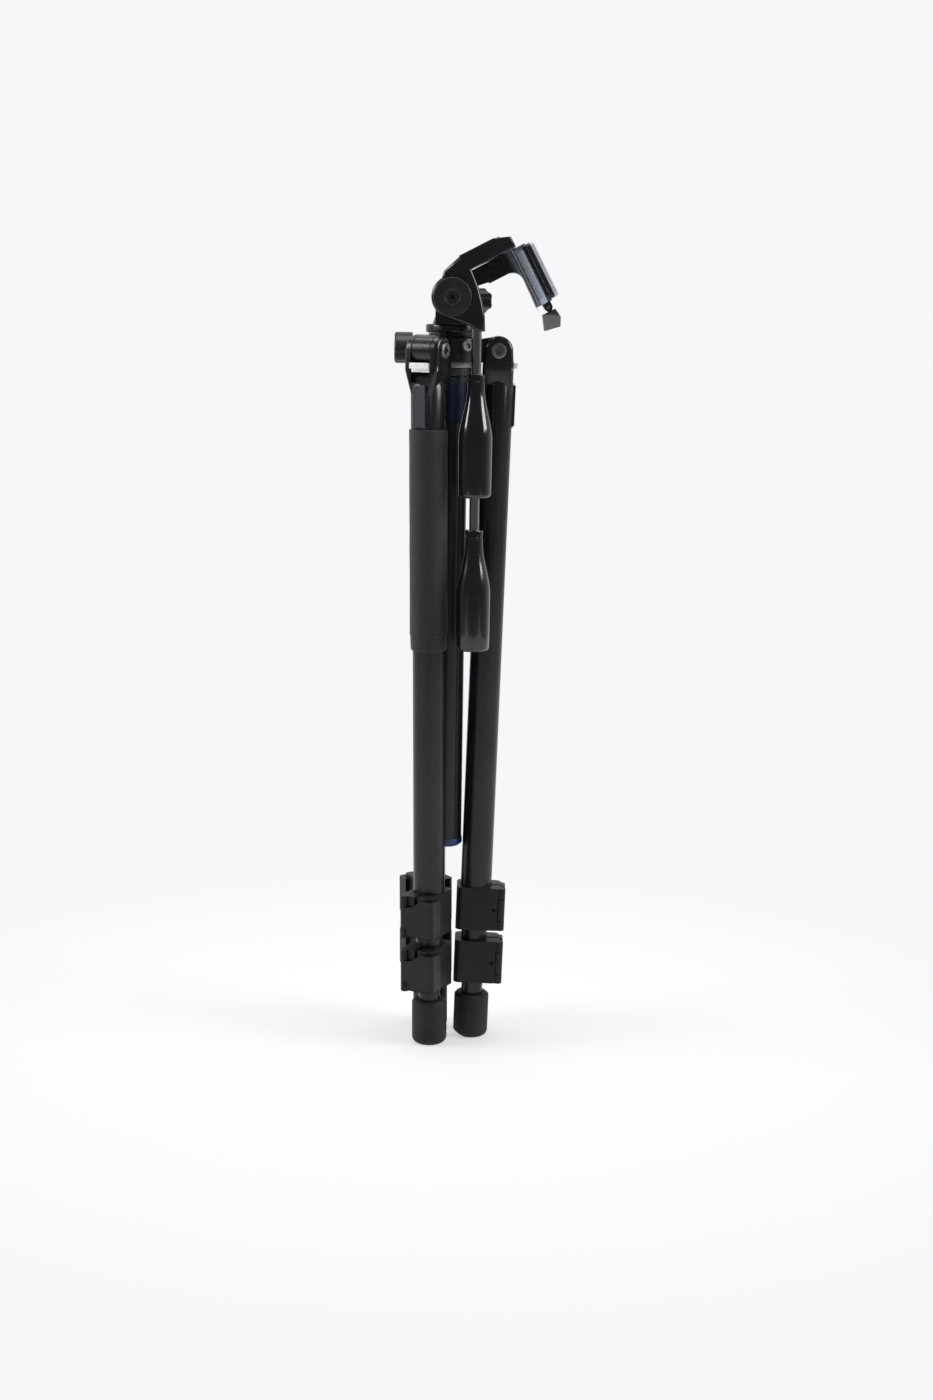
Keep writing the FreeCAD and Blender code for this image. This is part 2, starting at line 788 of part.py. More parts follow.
def makeLeg(leg):
    place = legPlace(leg)
    legCasting(f"leg_casting_{leg}", place)
    angleLatch(f"angle_latch_{leg}", place)
    legTube(f"upper_tube_{leg}", place, upperTubeRadius, upperTubeTop, upperTubeBottom)
    legTube(f"mid_tube_{leg}", place, midTubeRadius, midTubeTop, midTubeBottom,
            upperTubeRadius - tubeWall - runningGap)
    legTube(f"lower_tube_{leg}", place, lowerTubeRadius, lowerTubeTop, lowerTubeBottom,
            midTubeRadius - tubeWall - runningGap)
    tubes = {"upper": (upperLockTop, upperTubeRadius, midTubeRadius),
             "lower": (lowerLockTop, midTubeRadius, lowerTubeRadius)}
    for level, (top, outerTube, innerTube) in tubes.items():
        seat = down(place, top + lockHeight)
        lockCollar(f"{level}_collar_{leg}", seat, outerTube, innerTube)
        lockLever(f"{level}_lever_{leg}", seat)
        lockHardware(f"{level}_lock_pins_{leg}", seat)
    rubberFoot(f"foot_{leg}", place)


# Shoulder, column and their pieces

def makeShoulder():
    body = newBody("shoulder")
    seatTop = (shoulderLow + shoulderTop) / 2
    ring = [
        (bushingRadius, shoulderLow), (hubRadius, shoulderLow), (hubRadius, shoulderTop - hubChamfer),
        (hubRadius - hubChamfer, shoulderTop), (columnRadius + easyGap, shoulderTop),
        (columnRadius + easyGap, seatTop), (bushingRadius, seatTop),
    ]
    turn(body, outline(body, "XZ_Plane", ring))
    lug = emptySketch(body, "XZ_Plane", -lugHalfWidth)
    rootSide = bushingRadius + 3
    addLoop(lug, [
        (rootSide, shoulderLow), (hubRadius, shoulderLow),
        (pivotRadius, pivotHeight - lugRadius, "right", lugRadius),
        (pivotRadius + lugRadius, pivotHeight, "right", lugRadius),
        (pivotRadius, pivotHeight + lugRadius), (hubRadius, shoulderTop - hubChamfer),
        (rootSide, shoulderTop - hubChamfer),
    ])
    addCircle(lug, pivotRadius, pivotHeight, pivotBoltRadius)
    around(body, pad(body, lug, lugHalfWidth * 2), "Z_Axis", 3)
    boss = circleSketch(body, "YZ_Plane", 0, pivotHeight, clampBossRadius, -clampBossReach)
    pad(body, boss, clampBossReach - rootSide)
    screw = circleSketch(body, "YZ_Plane", 0, pivotHeight, clampScrewRadius + runningGap,
                         -clampBossReach - 1)
    pocket(body, screw, clampBossReach + 1 - bushingRadius + 2)
    bored = doc.addObject("Part::Cut", "shoulder_bored")
    pieces.remove(body)
    body.Label = "shoulder_block"
    bored.Base = body
    bored.Tool = rod("guide_screw_hole", guideScrewPlace(hubRadius + 3), guideScrewRadius,
                     hubRadius - columnRadius + 4)
    return kept(bored, "shoulder")


# Frame of the guide screw: on the hub between legs a and b, +Z towards the column
def guideScrewPlace(distance):
    azimuth = degrees(upTurn, -60)
    seat = azimuth.multVec(Vector(distance.value, 0, keyScrewHeight.value))
    return Placement(seat, azimuth * degrees(sideTurn, -90))


def makeGuideScrew():
    tipRadius = keyWidth / 2 - runningGap
    tip = columnRadius - keyDepth / 2
    back = guideScrewPlace(hubRadius + guideHeadThick)
    head = rod("guide_head", back, guideHeadRadius, guideHeadThick)
    recess = hexRod("guide_socket", shifted(back, z=-1), guideHeadRadius / 2, guideHeadThick / 2 + 1)
    shank = rod("guide_shank", guideScrewPlace(hubRadius), guideScrewRadius,
                hubRadius - columnRadius - easyGap)
    point = rod("guide_point", guideScrewPlace(hubRadius), tipRadius, hubRadius - tip)
    solid = fused("guide_solid", [without("guide_cap", head, recess), shank, point])
    kept(solid, "guide_screw")


# Moulded bushing under the shoulder: sleeve, rim, two stepped bands and a taper to the column
def makeBushing():
    inner = columnRadius + runningGap
    top = (shoulderLow + shoulderTop) / 2
    rim = shoulderLow - bushingRimHeight
    upper = rim - ribBand
    lower = upper - ribBand
    turned("column_bushing", Placement(), [
        (inner, bushingLow), (inner + bushingTip, bushingLow), (bushingRim - bandStep * 3, lower),
        (bushingRim - bandStep * 2, lower), (bushingRim - bandStep * 2, upper - bandGroove),
        (bushingRim - bandStep * 3, upper - bandGroove), (bushingRim - bandStep * 3, upper),
        (bushingRim - bandStep, upper), (bushingRim - bandStep, rim - bandGroove),
        (bushingRim - bandStep * 2, rim - bandGroove), (bushingRim - bandStep * 2, rim),
        (bushingRim, rim), (bushingRim, shoulderLow), (bushingRadius, shoulderLow),
        (bushingRadius, top), (inner, top),
    ])


# Pivot bolts: cap heads on one cheek of each casting, nuts on the other
def makePivotBolts():
    bolts = []
    face = cheekHalfWidth + easyGap
    for leg in legNames:
        start = shifted(legPlace(leg), y=face, turnAxis=(1, 0, 0), angle=90)
        bolt = socketScrew(f"pivot_bolt_{leg}", start, pivotBoltRadius, face * 2, boltHeadRadius,
                           boltHeadThick, boltHeadRadius / 2)
        nut = hexRod(f"pivot_nut_{leg}", shifted(start, z=-boltHeadThick), boltHeadRadius, boltHeadThick)
        bolts.append(fused(f"pivot_{leg}", [bolt, nut]))
    grouped("leg_pivot_bolts", bolts)


# Centre column: tube with a keyway along its whole length, towards the guide screw
def makeColumn():
    keyed = Placement(Vector(), degrees(upTurn, -60))
    inner = columnRadius - columnWall
    body = turned("centre_column", keyed, [
        (inner, columnLow), (columnRadius, columnLow), (columnRadius, columnTop), (inner, columnTop),
    ])
    keyway = [(columnRadius - keyDepth, columnLow - 1), (columnRadius + 1, columnLow - 1),
              (columnRadius + 1, columnTop + 1), (columnRadius - keyDepth, columnTop + 1)]
    pocket(body, outline(body, "XZ_Plane", keyway, -keyWidth / 2), keyWidth)
    turned("column_end_ring", Placement(), [
        (0, columnLow - endCapHeight), (endCapRadius - 2, columnLow - endCapHeight),
        (endCapRadius, columnLow - endCapHeight + 2), (endCapRadius, columnLow),
        (inner, columnLow), (inner, columnLow + plugLength), (0, columnLow + plugLength),
    ])
    turned("head_plate", Placement(), [
        (0, columnTop - plugLength), (inner, columnTop - plugLength), (inner, columnTop),
        (headPlateRadius, columnTop), (headPlateRadius, headPlateTop), (headStudRadius, headPlateTop),
        (headStudRadius, headPlateTop + headStudLength), (0, headPlateTop + headStudLength),
    ])


# Knob along +Z of its place: a round boss with finger lobes and a screw through its middle
def lobedKnob(label, place, start, length, radius, lobe, count, screwRadius, screwTip):
    body = newBody(label, place)
    pad(body, circleSketch(body, "XY_Plane", 0, 0, radius - lobe / 2, start), length)
    finger = circleSketch(body, "XY_Plane", radius - lobe, 0, lobe, start)
    around(body, pad(body, finger, length), "Z_Axis", count)
    blendEdges(body, "Chamfer", lambda edge, at: abs(at.z - (start + length).value) < 0.01, 1)
    shank = circleSketch(body, "XY_Plane", 0, 0, screwRadius, screwTip)
    pad(body, shank, start - screwTip)
    return body


def makeClampKnob():
    place = Placement(Vector(0, 0, pivotHeight.value), degrees(sideTurn, -90))
    lobedKnob("column_clamp_knob", place, clampKnobStart, clampKnobEnd - clampKnobStart,
              clampKnobRadius, clampKnobLobe, 3, clampScrewRadius, bushingRadius + easyGap)


# Three-way head

# Pan base: round flange, neck and an upright yoke that carries the tilt axle
def makePanBase():
    body = newBody("pan_base")
    low = headPlateTop + easyGap
    bore = headStudRadius + runningGap
    boreTop = headPlateTop + headStudLength + easyGap
    turn(body, outline(body, "XZ_Plane", [
        (bore, low), (panFlangeRadius - 1, low), (panFlangeRadius, low + 1),
        (panFlangeRadius, low + panFlangeThick - 1), (panFlangeRadius - 1, low + panFlangeThick),
        (panNeckRadius, low + panFlangeThick), (panNeckRadius - 2, low + panNeckHeight),
        (0, low + panNeckHeight), (0, boreTop), (bore, boreTop),
    ]))
    upright = emptySketch(body, "XZ_Plane", -yokeBack)
    addLoop(upright, [
        (-yokeRadius, low + panFlangeThick), (yokeRadius, low + panFlangeThick),
        (yokeRadius, tiltHeight, "right", yokeRadius), (0, tiltHeight + yokeRadius, "right", yokeRadius),
        (-yokeRadius, tiltHeight),
    ])
    addCircle(upright, 0, tiltHeight, tiltAxleRadius + runningGap)
    pad(body, upright, yokeBack + yokeFront)
    socket = circleSketch(body, "XY_Plane", 0, 0, bore, low)
    pocket(body, socket, boreTop - low)
    pieces.remove(body)
    body.Label = "pan_block"
    boss = rod("pan_boss", panKnobPlace(), panBossRadius, panKnobStart - easyGap)
    whole = fused("pan_bossed", [body, boss])
    hole = rod("pan_screw_hole", shifted(panKnobPlace(), z=panScrewTip - 1),
               panScrewRadius + runningGap, panKnobStart)
    stud = rod("pan_stud_bore", Placement(Vector(0, 0, low.value), Rotation()), bore, boreTop - low)
    axle = rod("pan_axle_bore", shifted(headPlace, y=-yokeFront, turnAxis=(1, 0, 0), angle=-90),
               tiltAxleRadius + runningGap, yokeFront + yokeBack)
    holes = fused("pan_holes", [hole, stud, axle])
    kept(without("pan_cut", whole, holes), "pan_base")


# Frame of the pan lock: level, +Z pointing out to the right and back
def panKnobPlace():
    azimuth = degrees(upTurn, panKnobTurn.value)
    return Placement(Vector(0, 0, panKnobHeight.value), azimuth * degrees(sideTurn, 90))


def makePanKnob():
    lobedKnob("pan_lock_knob", panKnobPlace(), panKnobStart, panKnobLength, panKnobRadius, 2.6, 6,
              panScrewRadius, panScrewTip)


# Tilt body, drawn in its in-use attitude: a round drum beside the yoke, a lobe that takes the
# pan handle, and a gooseneck arm that rises in front and reaches over to the side-tilt axis
def makeTiltBody():
    body = newBody("tilt_block", headPlace)
    pieces.remove(body)
    thick = plateFront - plateBack
    pad(body, circleSketch(body, "XZ_Plane", 0, 0, tiltDrumRadius, plateBack), thick)
    lobe = [
        (0, -tiltDrumRadius), (lobeReach * 0.36, -tiltDrumRadius * 0.66), (lobeReach * 0.72, lobeDrop - 2),
        (lobeReach * 0.93, lobeDrop + 2), (lobeReach, lobeDrop + 7.5), (lobeReach * 0.68, tiltDrumRadius - 0.4),
        (lobeReach * 0.39, tiltDrumRadius + 2.4), (1.5, tiltDrumRadius + 5), (0, tiltDrumRadius - 1),
    ]
    pad(body, outline(body, "XZ_Plane", lobe, plateBack), thick)
    back = armFront - armThick
    arm = [
        (-tiltDrumRadius, -1), (0, -1), (1.5, tiltDrumRadius + 5), (-back, armUnderside),
        (-back, armTop), (-armFront, armTop), (-armFront, tiltDrumRadius + 4),
        (-armFront * 0.81, 3),
    ]
    pad(body, outline(body, "XZ_Plane", arm, plateBack), thick)
    blendEdges(body, "Fillet", isNearEdge, plateRound)
    neck = [
        (-plateFront + 0.1, armUnderside - 4), (-plateBack, armUnderside - 4),
        (-plateBack + 5, armUnderside + 1), (0, sideAxisHeight - sideDiscRadius, "right", sideDiscRadius),
        (sideDiscRadius, sideAxisHeight, "right", sideDiscRadius),
        (0, sideAxisHeight + sideDiscRadius), (-plateBack + 4, armTop), (-plateFront + armNose, armTop),
        (-plateFront + 0.1, armTop - armNose),
    ]
    pad(body, outline(body, "YZ_Plane", neck, -armFront), armThick)
    brow = [(-armFront - 1, sideAxisHeight), (-armFront, sideAxisHeight),
            (-armFront + 5, armTop + 0.5), (-armFront - 1, armTop + 0.5)]
    pocket(body, outline(body, "XZ_Plane", brow, -sideDiscRadius - 2), sideDiscRadius + plateFront + 4)
    pocket(body, circleSketch(body, "XZ_Plane", 0, 0, tiltAxleRadius, plateBack - 1), thick + 2)
    counterbore = circleSketch(body, "YZ_Plane", 0, sideAxisHeight, sideHeadRadius, -armFront - 1)
    pocket(body, counterbore, sideHeadDepth + 1)
    pocket(body, circleSketch(body, "YZ_Plane", 0, sideAxisHeight, sideBoltRadius, -armFront - 1),
           armThick + 2)
    socket = rod("handle_socket", shifted(handlePlace, z=socketStart), rodRadius + runningGap, gripStart)
    kept(without("tilt_cut", body, socket), "tilt_body")


def makeTiltAxle():
    start = shifted(headPlace, y=yokeBack + axleNutThick + easyGap, turnAxis=(1, 0, 0), angle=90)
    length = yokeBack + axleNutThick + easyGap + plateFront
    shank = rod("axle_shank", start, tiltAxleRadius, length + capRecess)
    nut = hexRod("axle_nut", start, tiltAxleRadius * 2, axleNutThick)
    whole = fused("axle_whole", [shank, nut])
    recess = hexRod("axle_socket", shifted(start, z=length - 1), tiltAxleRadius * 0.6, 4)
    kept(without("axle_cut", whole, recess), "tilt_axle")


def makeHubCap():
    place = shifted(headPlace, turnAxis=(1, 0, 0), angle=90)
    face = plateFront + hubCapThick
    turned("hub_cap", place, [
        (tiltAxleRadius, plateFront), (hubCapRadius, plateFront), (hubCapRadius, face - 1, "right", 1),
        (hubCapRadius - 1, face), (tiltAxleRadius + 2.5, face), (tiltAxleRadius + 1.5, face - 1),
        (tiltAxleRadius, face - 1),
    ])


# Side-tilt bracket: a block that turns on the arm, flaring in concave curves up to the platform
def makeBracket():
    body = newBody("side_tilt_bracket", headPlace)
    face = -(armFront - armThick) + easyGap
    heel = face + bracketDepth
    side = [
        (face, sideAxisHeight - sideDiscRadius + 2), (heel, bracketLow),
        (heel, platformLow - throatRadius, "left", throatRadius),
        (heel + throatRadius, platformLow), (platformRear, platformLow - 1), (platformRear, platformTop),
        (-platformFront, platformTop), (face, platformTop - 6),
    ]
    pad(body, outline(body, "XZ_Plane", side, -platformHalfWidth), platformHalfWidth * 2)
    flare = platformHalfWidth - bracketHalfWidth
    for hand, bulge in ((1, "left"), (-1, "right")):
        cheek = [
            (bracketHalfWidth * hand, bracketLow - 1), (bracketHalfWidth * hand, platformLow - flare + 3,
                                                        bulge, flare),
            (platformHalfWidth * hand, platformLow + 3), ((platformHalfWidth + 2) * hand, platformLow + 3),
            ((platformHalfWidth + 2) * hand, bracketLow - 1),
        ]
        pocket(body, outline(body, "YZ_Plane", cheek, face - 1), platformRear - face + 2)
    blendEdges(body, "Fillet", isPlatformCorner, platformCorner)
    knuckle = [(face, knuckleDrop), (heel - 3, knuckleDrop), (heel - 0.5, bracketLow + 4),
               (face, sideAxisHeight)]
    pad(body, outline(body, "XZ_Plane", knuckle, -knuckleHalf), knuckleHalf * 2)
    pocket(body, circleSketch(body, "YZ_Plane", 0, sideAxisHeight, sideBoltRadius + runningGap,
                              face - 1), bracketDepth - 3)
    pocket(body, circleSketch(body, "XY_Plane", screwCentre, 0, screwWell, bracketLow), armTop)
    pocket(body, circleSketch(body, "XZ_Plane", heel - bracketDepth / 2, socketHeight,
                              sideSocketRadius, -bracketHalfWidth - 1), sideSocketDepth + 1)
    ear = circleSketch(body, "XZ_Plane", leverAxisAt, leverAxisHeight, leverBarrel, -earOuter)
    pad(body, ear, earOuter * 2)
    tongue = [(platformRear - 1, leverAxisHeight - leverBarrel), (leverAxisAt, leverAxisHeight - leverBarrel),
              (leverAxisAt, leverAxisHeight + leverBarrel), (platformRear - 1, leverAxisHeight + leverBarrel)]
    pad(body, outline(body, "XZ_Plane", tongue, -earOuter), earOuter * 2)
    gap = [
        (platformRear, leverAxisHeight - 2 * leverBarrel), (leverAxisAt * 2, leverAxisHeight - 2 * leverBarrel),
        (leverAxisAt * 2, leverAxisHeight + 2 * leverBarrel), (platformRear, leverAxisHeight + 2 * leverBarrel),
    ]
    pocket(body, outline(body, "XZ_Plane", gap, -earInner), earInner * 2)
    pocket(body, circleSketch(body, "XZ_Plane", leverAxisAt, leverAxisHeight, leverPinRadius,
                              -earOuter - 1), earOuter * 2 + 2)
    return body


def isPlatformCorner(edge, at):
    upright = len(edge.Vertexes) == 2 and abs(edge.Vertexes[0].Z - edge.Vertexes[1].Z) > 3
    straight = edge.Curve.TypeId == "Part::GeomLine"
    return upright and straight and abs(abs(at.y) - platformHalfWidth.value) < 0.01


def isNearEdge(edge, at):
    return all(abs(vertex.Y + plateFront.value) < 0.01 for vertex in edge.Vertexes)


def makeSideBolt():
    turnOut = shifted(headPlace, -armFront, 0, sideAxisHeight, sideTurn, 90)
    tip = armThick + bracketDepth - 4
    head = rod("side_head", turnOut, sideHeadRadius, sideHeadDepth)
    recess = hexRod("side_recess", shifted(turnOut, z=-1), sideBoltRadius, sideHeadDepth)
    shank = rod("side_shank", shifted(turnOut, z=sideHeadDepth), sideBoltRadius, tip - sideHeadDepth)
    kept(fused("side_whole", [without("side_cut", head, recess), shank]), "side_tilt_bolt")


# Quick-release plate with rounded corners; the camera screw slides and turns in its hole
def makeCameraPlate():
    body = newBody("camera_plate", headPlace)
    inset = 1.2
    plan = roundedRectangle(-platformFront + inset, platformRear - inset, -platformHalfWidth + inset,
                            platformHalfWidth - inset, platformCorner - inset)
    pad(body, outline(body, "XY_Plane", plan, platformTop), cameraPlateTop - platformTop)
    blendEdges(body, "Chamfer", lambda edge, at: abs(at.z - cameraPlateTop.value) < 0.01, 0.6)
    pocket(body, circleSketch(body, "XY_Plane", screwCentre, 0, cameraScrewRadius + easyGap, platformTop),
           cameraPlateTop)
    return body


def makeCameraScrew():
    place = shifted(headPlace, screwCentre, 0, 0)
    headTop = platformTop - screwTravel
    turned("camera_screw", place, [
        (0, headTop - screwHeadThick), (screwWell - 1.5, headTop - screwHeadThick),
        (screwWell - 1.5, headTop), (cameraScrewRadius, headTop),
        (cameraScrewRadius, cameraPlateTop - 0.9), (cameraScrewRadius - 0.6, cameraPlateTop - 0.3),
        (0, cameraPlateTop - 0.3),
    ])


# Lever at the rear of the platform: a barrel between two ears and a block for the thumb
def makeReleaseLever():
    body = newBody("release_lever", headPlace)
    near = leverAxisAt + leverBarrel + easyGap
    top = leverAxisHeight + leverBlock * 0.33
    low = leverAxisHeight - leverBlock * 0.67
    block = [
        (near, low + 4), (near + leverBlock * 0.72, low), (near + leverBlock * 0.86, low + leverBlock * 0.78),
        (near + leverBlock * 0.45, top), (near, top - 1),
    ]
    pad(body, outline(body, "XZ_Plane", block, -earOuter), earOuter * 2)
    barrel = circleSketch(body, "XZ_Plane", leverAxisAt, leverAxisHeight, leverBarrel,
                          -earInner + easyGap)
    pad(body, barrel, (earInner - easyGap) * 2)
    stem = [(leverAxisAt, leverAxisHeight - 2), (near + 1, leverAxisHeight - 2),
            (near + 1, leverAxisHeight + 2), (leverAxisAt, leverAxisHeight + 2)]
    pad(body, outline(body, "XZ_Plane", stem, -earInner + easyGap), (earInner - easyGap) * 2)
    pocket(body, circleSketch(body, "XZ_Plane", leverAxisAt, leverAxisHeight,
                              leverPinRadius + runningGap, -earOuter), earOuter * 2)
    return body


def makeReleasePin():
    start = shifted(headPlace, leverAxisAt, earOuter, leverAxisHeight, (1, 0, 0), 90)
    kept(rod("release_pin", start, leverPinRadius, earOuter * 2), "release_pin")


# Chromed rod and bottle-shaped grip; the second pair screws into the end of the first
def makeHandle(order, first, show):
    grip = first + show
    rodStart = first - rodThread
    turned(f"handle_rod_{order}", handlePlace, [
        (0, rodStart), (rodRadius - 0.6, rodStart), (rodRadius, rodStart + 0.6),
        (rodRadius, grip + rodThread), (0, grip + rodThread),
    ])
    end = grip + gripLength
    corners = [
        (rodRadius, grip), (gripNeckRadius - 1, grip), (gripNeckRadius, grip + 1),
        (gripNeckRadius, grip + neckLength, "left", gripSweep),
        ((gripNeckRadius + gripRadius) / 2, grip + neckLength + shoulderLength / 2, "right", gripSweep),
        (gripRadius, grip + neckLength + shoulderLength), (gripRadius - 0.4, end - 3, "right", 3),
        (gripRadius - 3.4, end), (socketRadius, end), (socketRadius, end - rodThread - easyGap),
        (0, end - rodThread - easyGap), (0, grip + rodThread), (rodRadius, grip + rodThread),
    ]
    turned(f"handle_grip_{order}", handlePlace, corners)


# Build, test and write

for leg in legNames:
    makeLeg(leg)
foamGrip("foam_grip", legPlace("a"))
makeShoulder()
makeGuideScrew()
makeBushing()
makePivotBolts()
makeColumn()
makeClampKnob()
makePanBase()
makePanKnob()
makeTiltBody()
makeTiltAxle()
makeHubCap()
makeBracket()
makeSideBolt()
makeCameraPlate()
makeCameraScrew()
makeReleaseLever()
makeReleasePin()
makeHandle(1, gripStart - rodShow, rodShow)
makeHandle(2, gripStart + gripLength, secondRodShow)

doc.recompute()
faults = [item.Name for item in doc.Objects if "Invalid" in item.State or "Error" in item.State]
for piece in pieces:
    if piece.Shape.isNull() or not piece.Shape.isValid():
        faults.append(piece.Label)
if faults:
    raise RuntimeError("not built: " + ", ".join(faults))
os.makedirs("parts", exist_ok=True)
for piece in pieces:
    piece.Shape.exportStep(f"parts/{piece.Label}.step")
print(len(pieces), "pieces written")
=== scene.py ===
import json
from math import atan2, cos, pi, radians, sin

import bmesh
import bpy
from mathutils import Matrix, Vector

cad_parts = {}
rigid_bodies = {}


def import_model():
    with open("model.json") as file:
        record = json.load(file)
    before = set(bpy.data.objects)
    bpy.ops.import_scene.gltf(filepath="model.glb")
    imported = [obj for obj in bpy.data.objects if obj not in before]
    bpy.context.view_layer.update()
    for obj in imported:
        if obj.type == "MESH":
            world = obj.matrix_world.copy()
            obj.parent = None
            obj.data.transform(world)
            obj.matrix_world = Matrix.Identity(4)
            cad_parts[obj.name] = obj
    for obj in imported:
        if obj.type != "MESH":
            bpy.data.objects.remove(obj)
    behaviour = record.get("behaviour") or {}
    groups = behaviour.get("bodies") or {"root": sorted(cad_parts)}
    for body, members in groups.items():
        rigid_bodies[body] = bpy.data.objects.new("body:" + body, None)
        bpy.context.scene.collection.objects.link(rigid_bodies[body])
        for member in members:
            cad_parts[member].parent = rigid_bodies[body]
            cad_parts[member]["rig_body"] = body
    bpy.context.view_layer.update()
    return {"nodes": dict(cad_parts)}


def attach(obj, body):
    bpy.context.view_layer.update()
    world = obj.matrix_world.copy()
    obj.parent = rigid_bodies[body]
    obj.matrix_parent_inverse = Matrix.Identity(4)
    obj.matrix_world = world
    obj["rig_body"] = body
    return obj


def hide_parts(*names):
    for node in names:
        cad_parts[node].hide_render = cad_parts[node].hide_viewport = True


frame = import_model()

nodes = frame["nodes"]
legNames = ("a", "b", "c")
legAzimuth = {"a": radians(240), "b": 0.0, "c": radians(120)}

stance = {"pivotRadius": 0.0359, "pivotHeight": 0.554, "lean": radians(1.44),
          "tiltHeight": 0.594, "fold": radians(62.5),
          "handleAt": (0.0185, -0.0325, 0.594), "handleSplay": radians(0.15)}


# Leg frame: origin at the pivot, x outward, z up along the leg
def legMatrix(leg):
    turn = Matrix.Rotation(legAzimuth[leg], 4, "Z")
    seat = Matrix.Translation((stance["pivotRadius"], 0, stance["pivotHeight"]))
    return turn @ seat @ Matrix.Rotation(stance["lean"], 4, "Y")


# Head frame as the head is in use: x to the rear, z up
headMatrix = Matrix.Translation((0, 0, stance["tiltHeight"])) @ Matrix.Rotation(stance["fold"], 4, "Y")

# Handle frame: z runs down along the rods and grips
handleMatrix = (Matrix.Translation(stance["handleAt"])
                @ Matrix.Rotation(pi - stance["handleSplay"], 4, "Y"))


# Node materials

def startMaterial(name):
    material = bpy.data.materials.new(name)
    material.use_nodes = True
    return material, material.node_tree, material.node_tree.nodes["Principled BSDF"]


def addNode(tree, kind, **settings):
    node = tree.nodes.new("ShaderNode" + kind)
    for key, value in settings.items():
        if key in node.inputs:
            node.inputs[key].default_value = value
        else:
            setattr(node, key, value)
    return node


def wire(tree, source, target):
    tree.links.new(source, target)


# Object coordinates turned into a leg's, the head's or the handle's own frame
def localCoords(tree, matrix=None, stretch=(1, 1, 1)):
    coords = addNode(tree, "TexCoord")
    mapping = addNode(tree, "Mapping")
    if matrix is not None:
        back = matrix.inverted()
        mapping.inputs["Location"].default_value = back.to_translation()
        mapping.inputs["Rotation"].default_value = back.to_euler("XYZ")
    wire(tree, coords.outputs["Object"], mapping.inputs["Vector"])
    if stretch == (1, 1, 1):
        return mapping.outputs["Vector"]
    scale = addNode(tree, "Mapping")
    scale.inputs["Scale"].default_value = stretch
    wire(tree, mapping.outputs["Vector"], scale.inputs["Vector"])
    return scale.outputs["Vector"]


def noise(tree, vector, scale, detail=4, rough=0.55):
    made = addNode(tree, "TexNoise", Scale=scale, Detail=detail, Roughness=rough)
    wire(tree, vector, made.inputs["Vector"])
    return made.outputs["Fac"]


def remap(tree, value, low, high, toLow, toHigh):
    made = addNode(tree, "MapRange")
    for key, number in (("From Min", low), ("From Max", high), ("To Min", toLow), ("To Max", toHigh)):
        made.inputs[key].default_value = number
    wire(tree, value, made.inputs["Value"])
    return made.outputs["Result"]


def combine(tree, operation, first, second):
    made = addNode(tree, "Math", operation=operation)
    for socket, value in ((made.inputs[0], first), (made.inputs[1], second)):
        if isinstance(value, (int, float)):
            socket.default_value = value
        else:
            wire(tree, value, socket)
    return made.outputs["Value"]


def mixColour(tree, factor, first, second):
    made = addNode(tree, "Mix", data_type="RGBA")
    sockets = (made.inputs["Factor"], made.inputs[6], made.inputs[7])
    for socket, value in zip(sockets, (factor, first, second)):
        if isinstance(value, (int, float)):
            socket.default_value = value
        elif isinstance(value, tuple):
            socket.default_value = (*value, 1)
        else:
            wire(tree, value, socket)
    return made.outputs[2]


# 1 along the outer edges of a piece, 0 on its faces
def edgeMask(tree, width, vector):
    bevel = addNode(tree, "Bevel", samples=6)
    bevel.inputs["Radius"].default_value = width
    geometry = addNode(tree, "NewGeometry")
    dot = addNode(tree, "VectorMath", operation="DOT_PRODUCT")
    wire(tree, bevel.outputs["Normal"], dot.inputs[0])
    wire(tree, geometry.outputs["Normal"], dot.inputs[1])
    bareAndSheen = remap(tree, dot.outputs["Value"], 0.995, 0.90, 0, 1)
    broken = remap(tree, noise(tree, vector, 260, 5, 0.7), 0.42, 0.62, 0.15, 1)
    return combine(tree, "MULTIPLY", bareAndSheen, broken)


def bumpFrom(tree, height, distance, strength, shader, under=None):
    bump = addNode(tree, "Bump", Distance=distance, Strength=strength)
    wire(tree, height, bump.inputs["Height"])
    if under is not None:
        wire(tree, under, bump.inputs["Normal"])
    wire(tree, bump.outputs["Normal"], shader.inputs["Normal"])
    return bump.outputs["Normal"]


# 1 inside a block of the piece's own frame, given as a low and a high value for each axis named
def zoneMask(tree, vector, zone):
    split = addNode(tree, "SeparateXYZ")
    wire(tree, vector, split.inputs[0])
    mask = None
    for axis in "XYZ":
        if axis not in zone:
            continue
        low, high = zone[axis]
        soft = zone.get("soft", 0.0002)
        fade = zone.get("fade", soft)
        value = split.outputs[axis]
        inside = combine(tree, "MULTIPLY", remap(tree, value, low - fade, low + fade, 0, 1),
                         remap(tree, value, high - soft, high + soft, 1, 0))
        mask = inside if mask is None else combine(tree, "MULTIPLY", mask, inside)
    return mask


# Moulded or painted surface: cloudy tone, fine grain, handling marks and worn edges; on the tilt arm the worn
# edges are a painted highlight along its edges
mouldedFine = {"marks": 120, "grainDepth": 0.00004, "waveDepth": 0.0002}


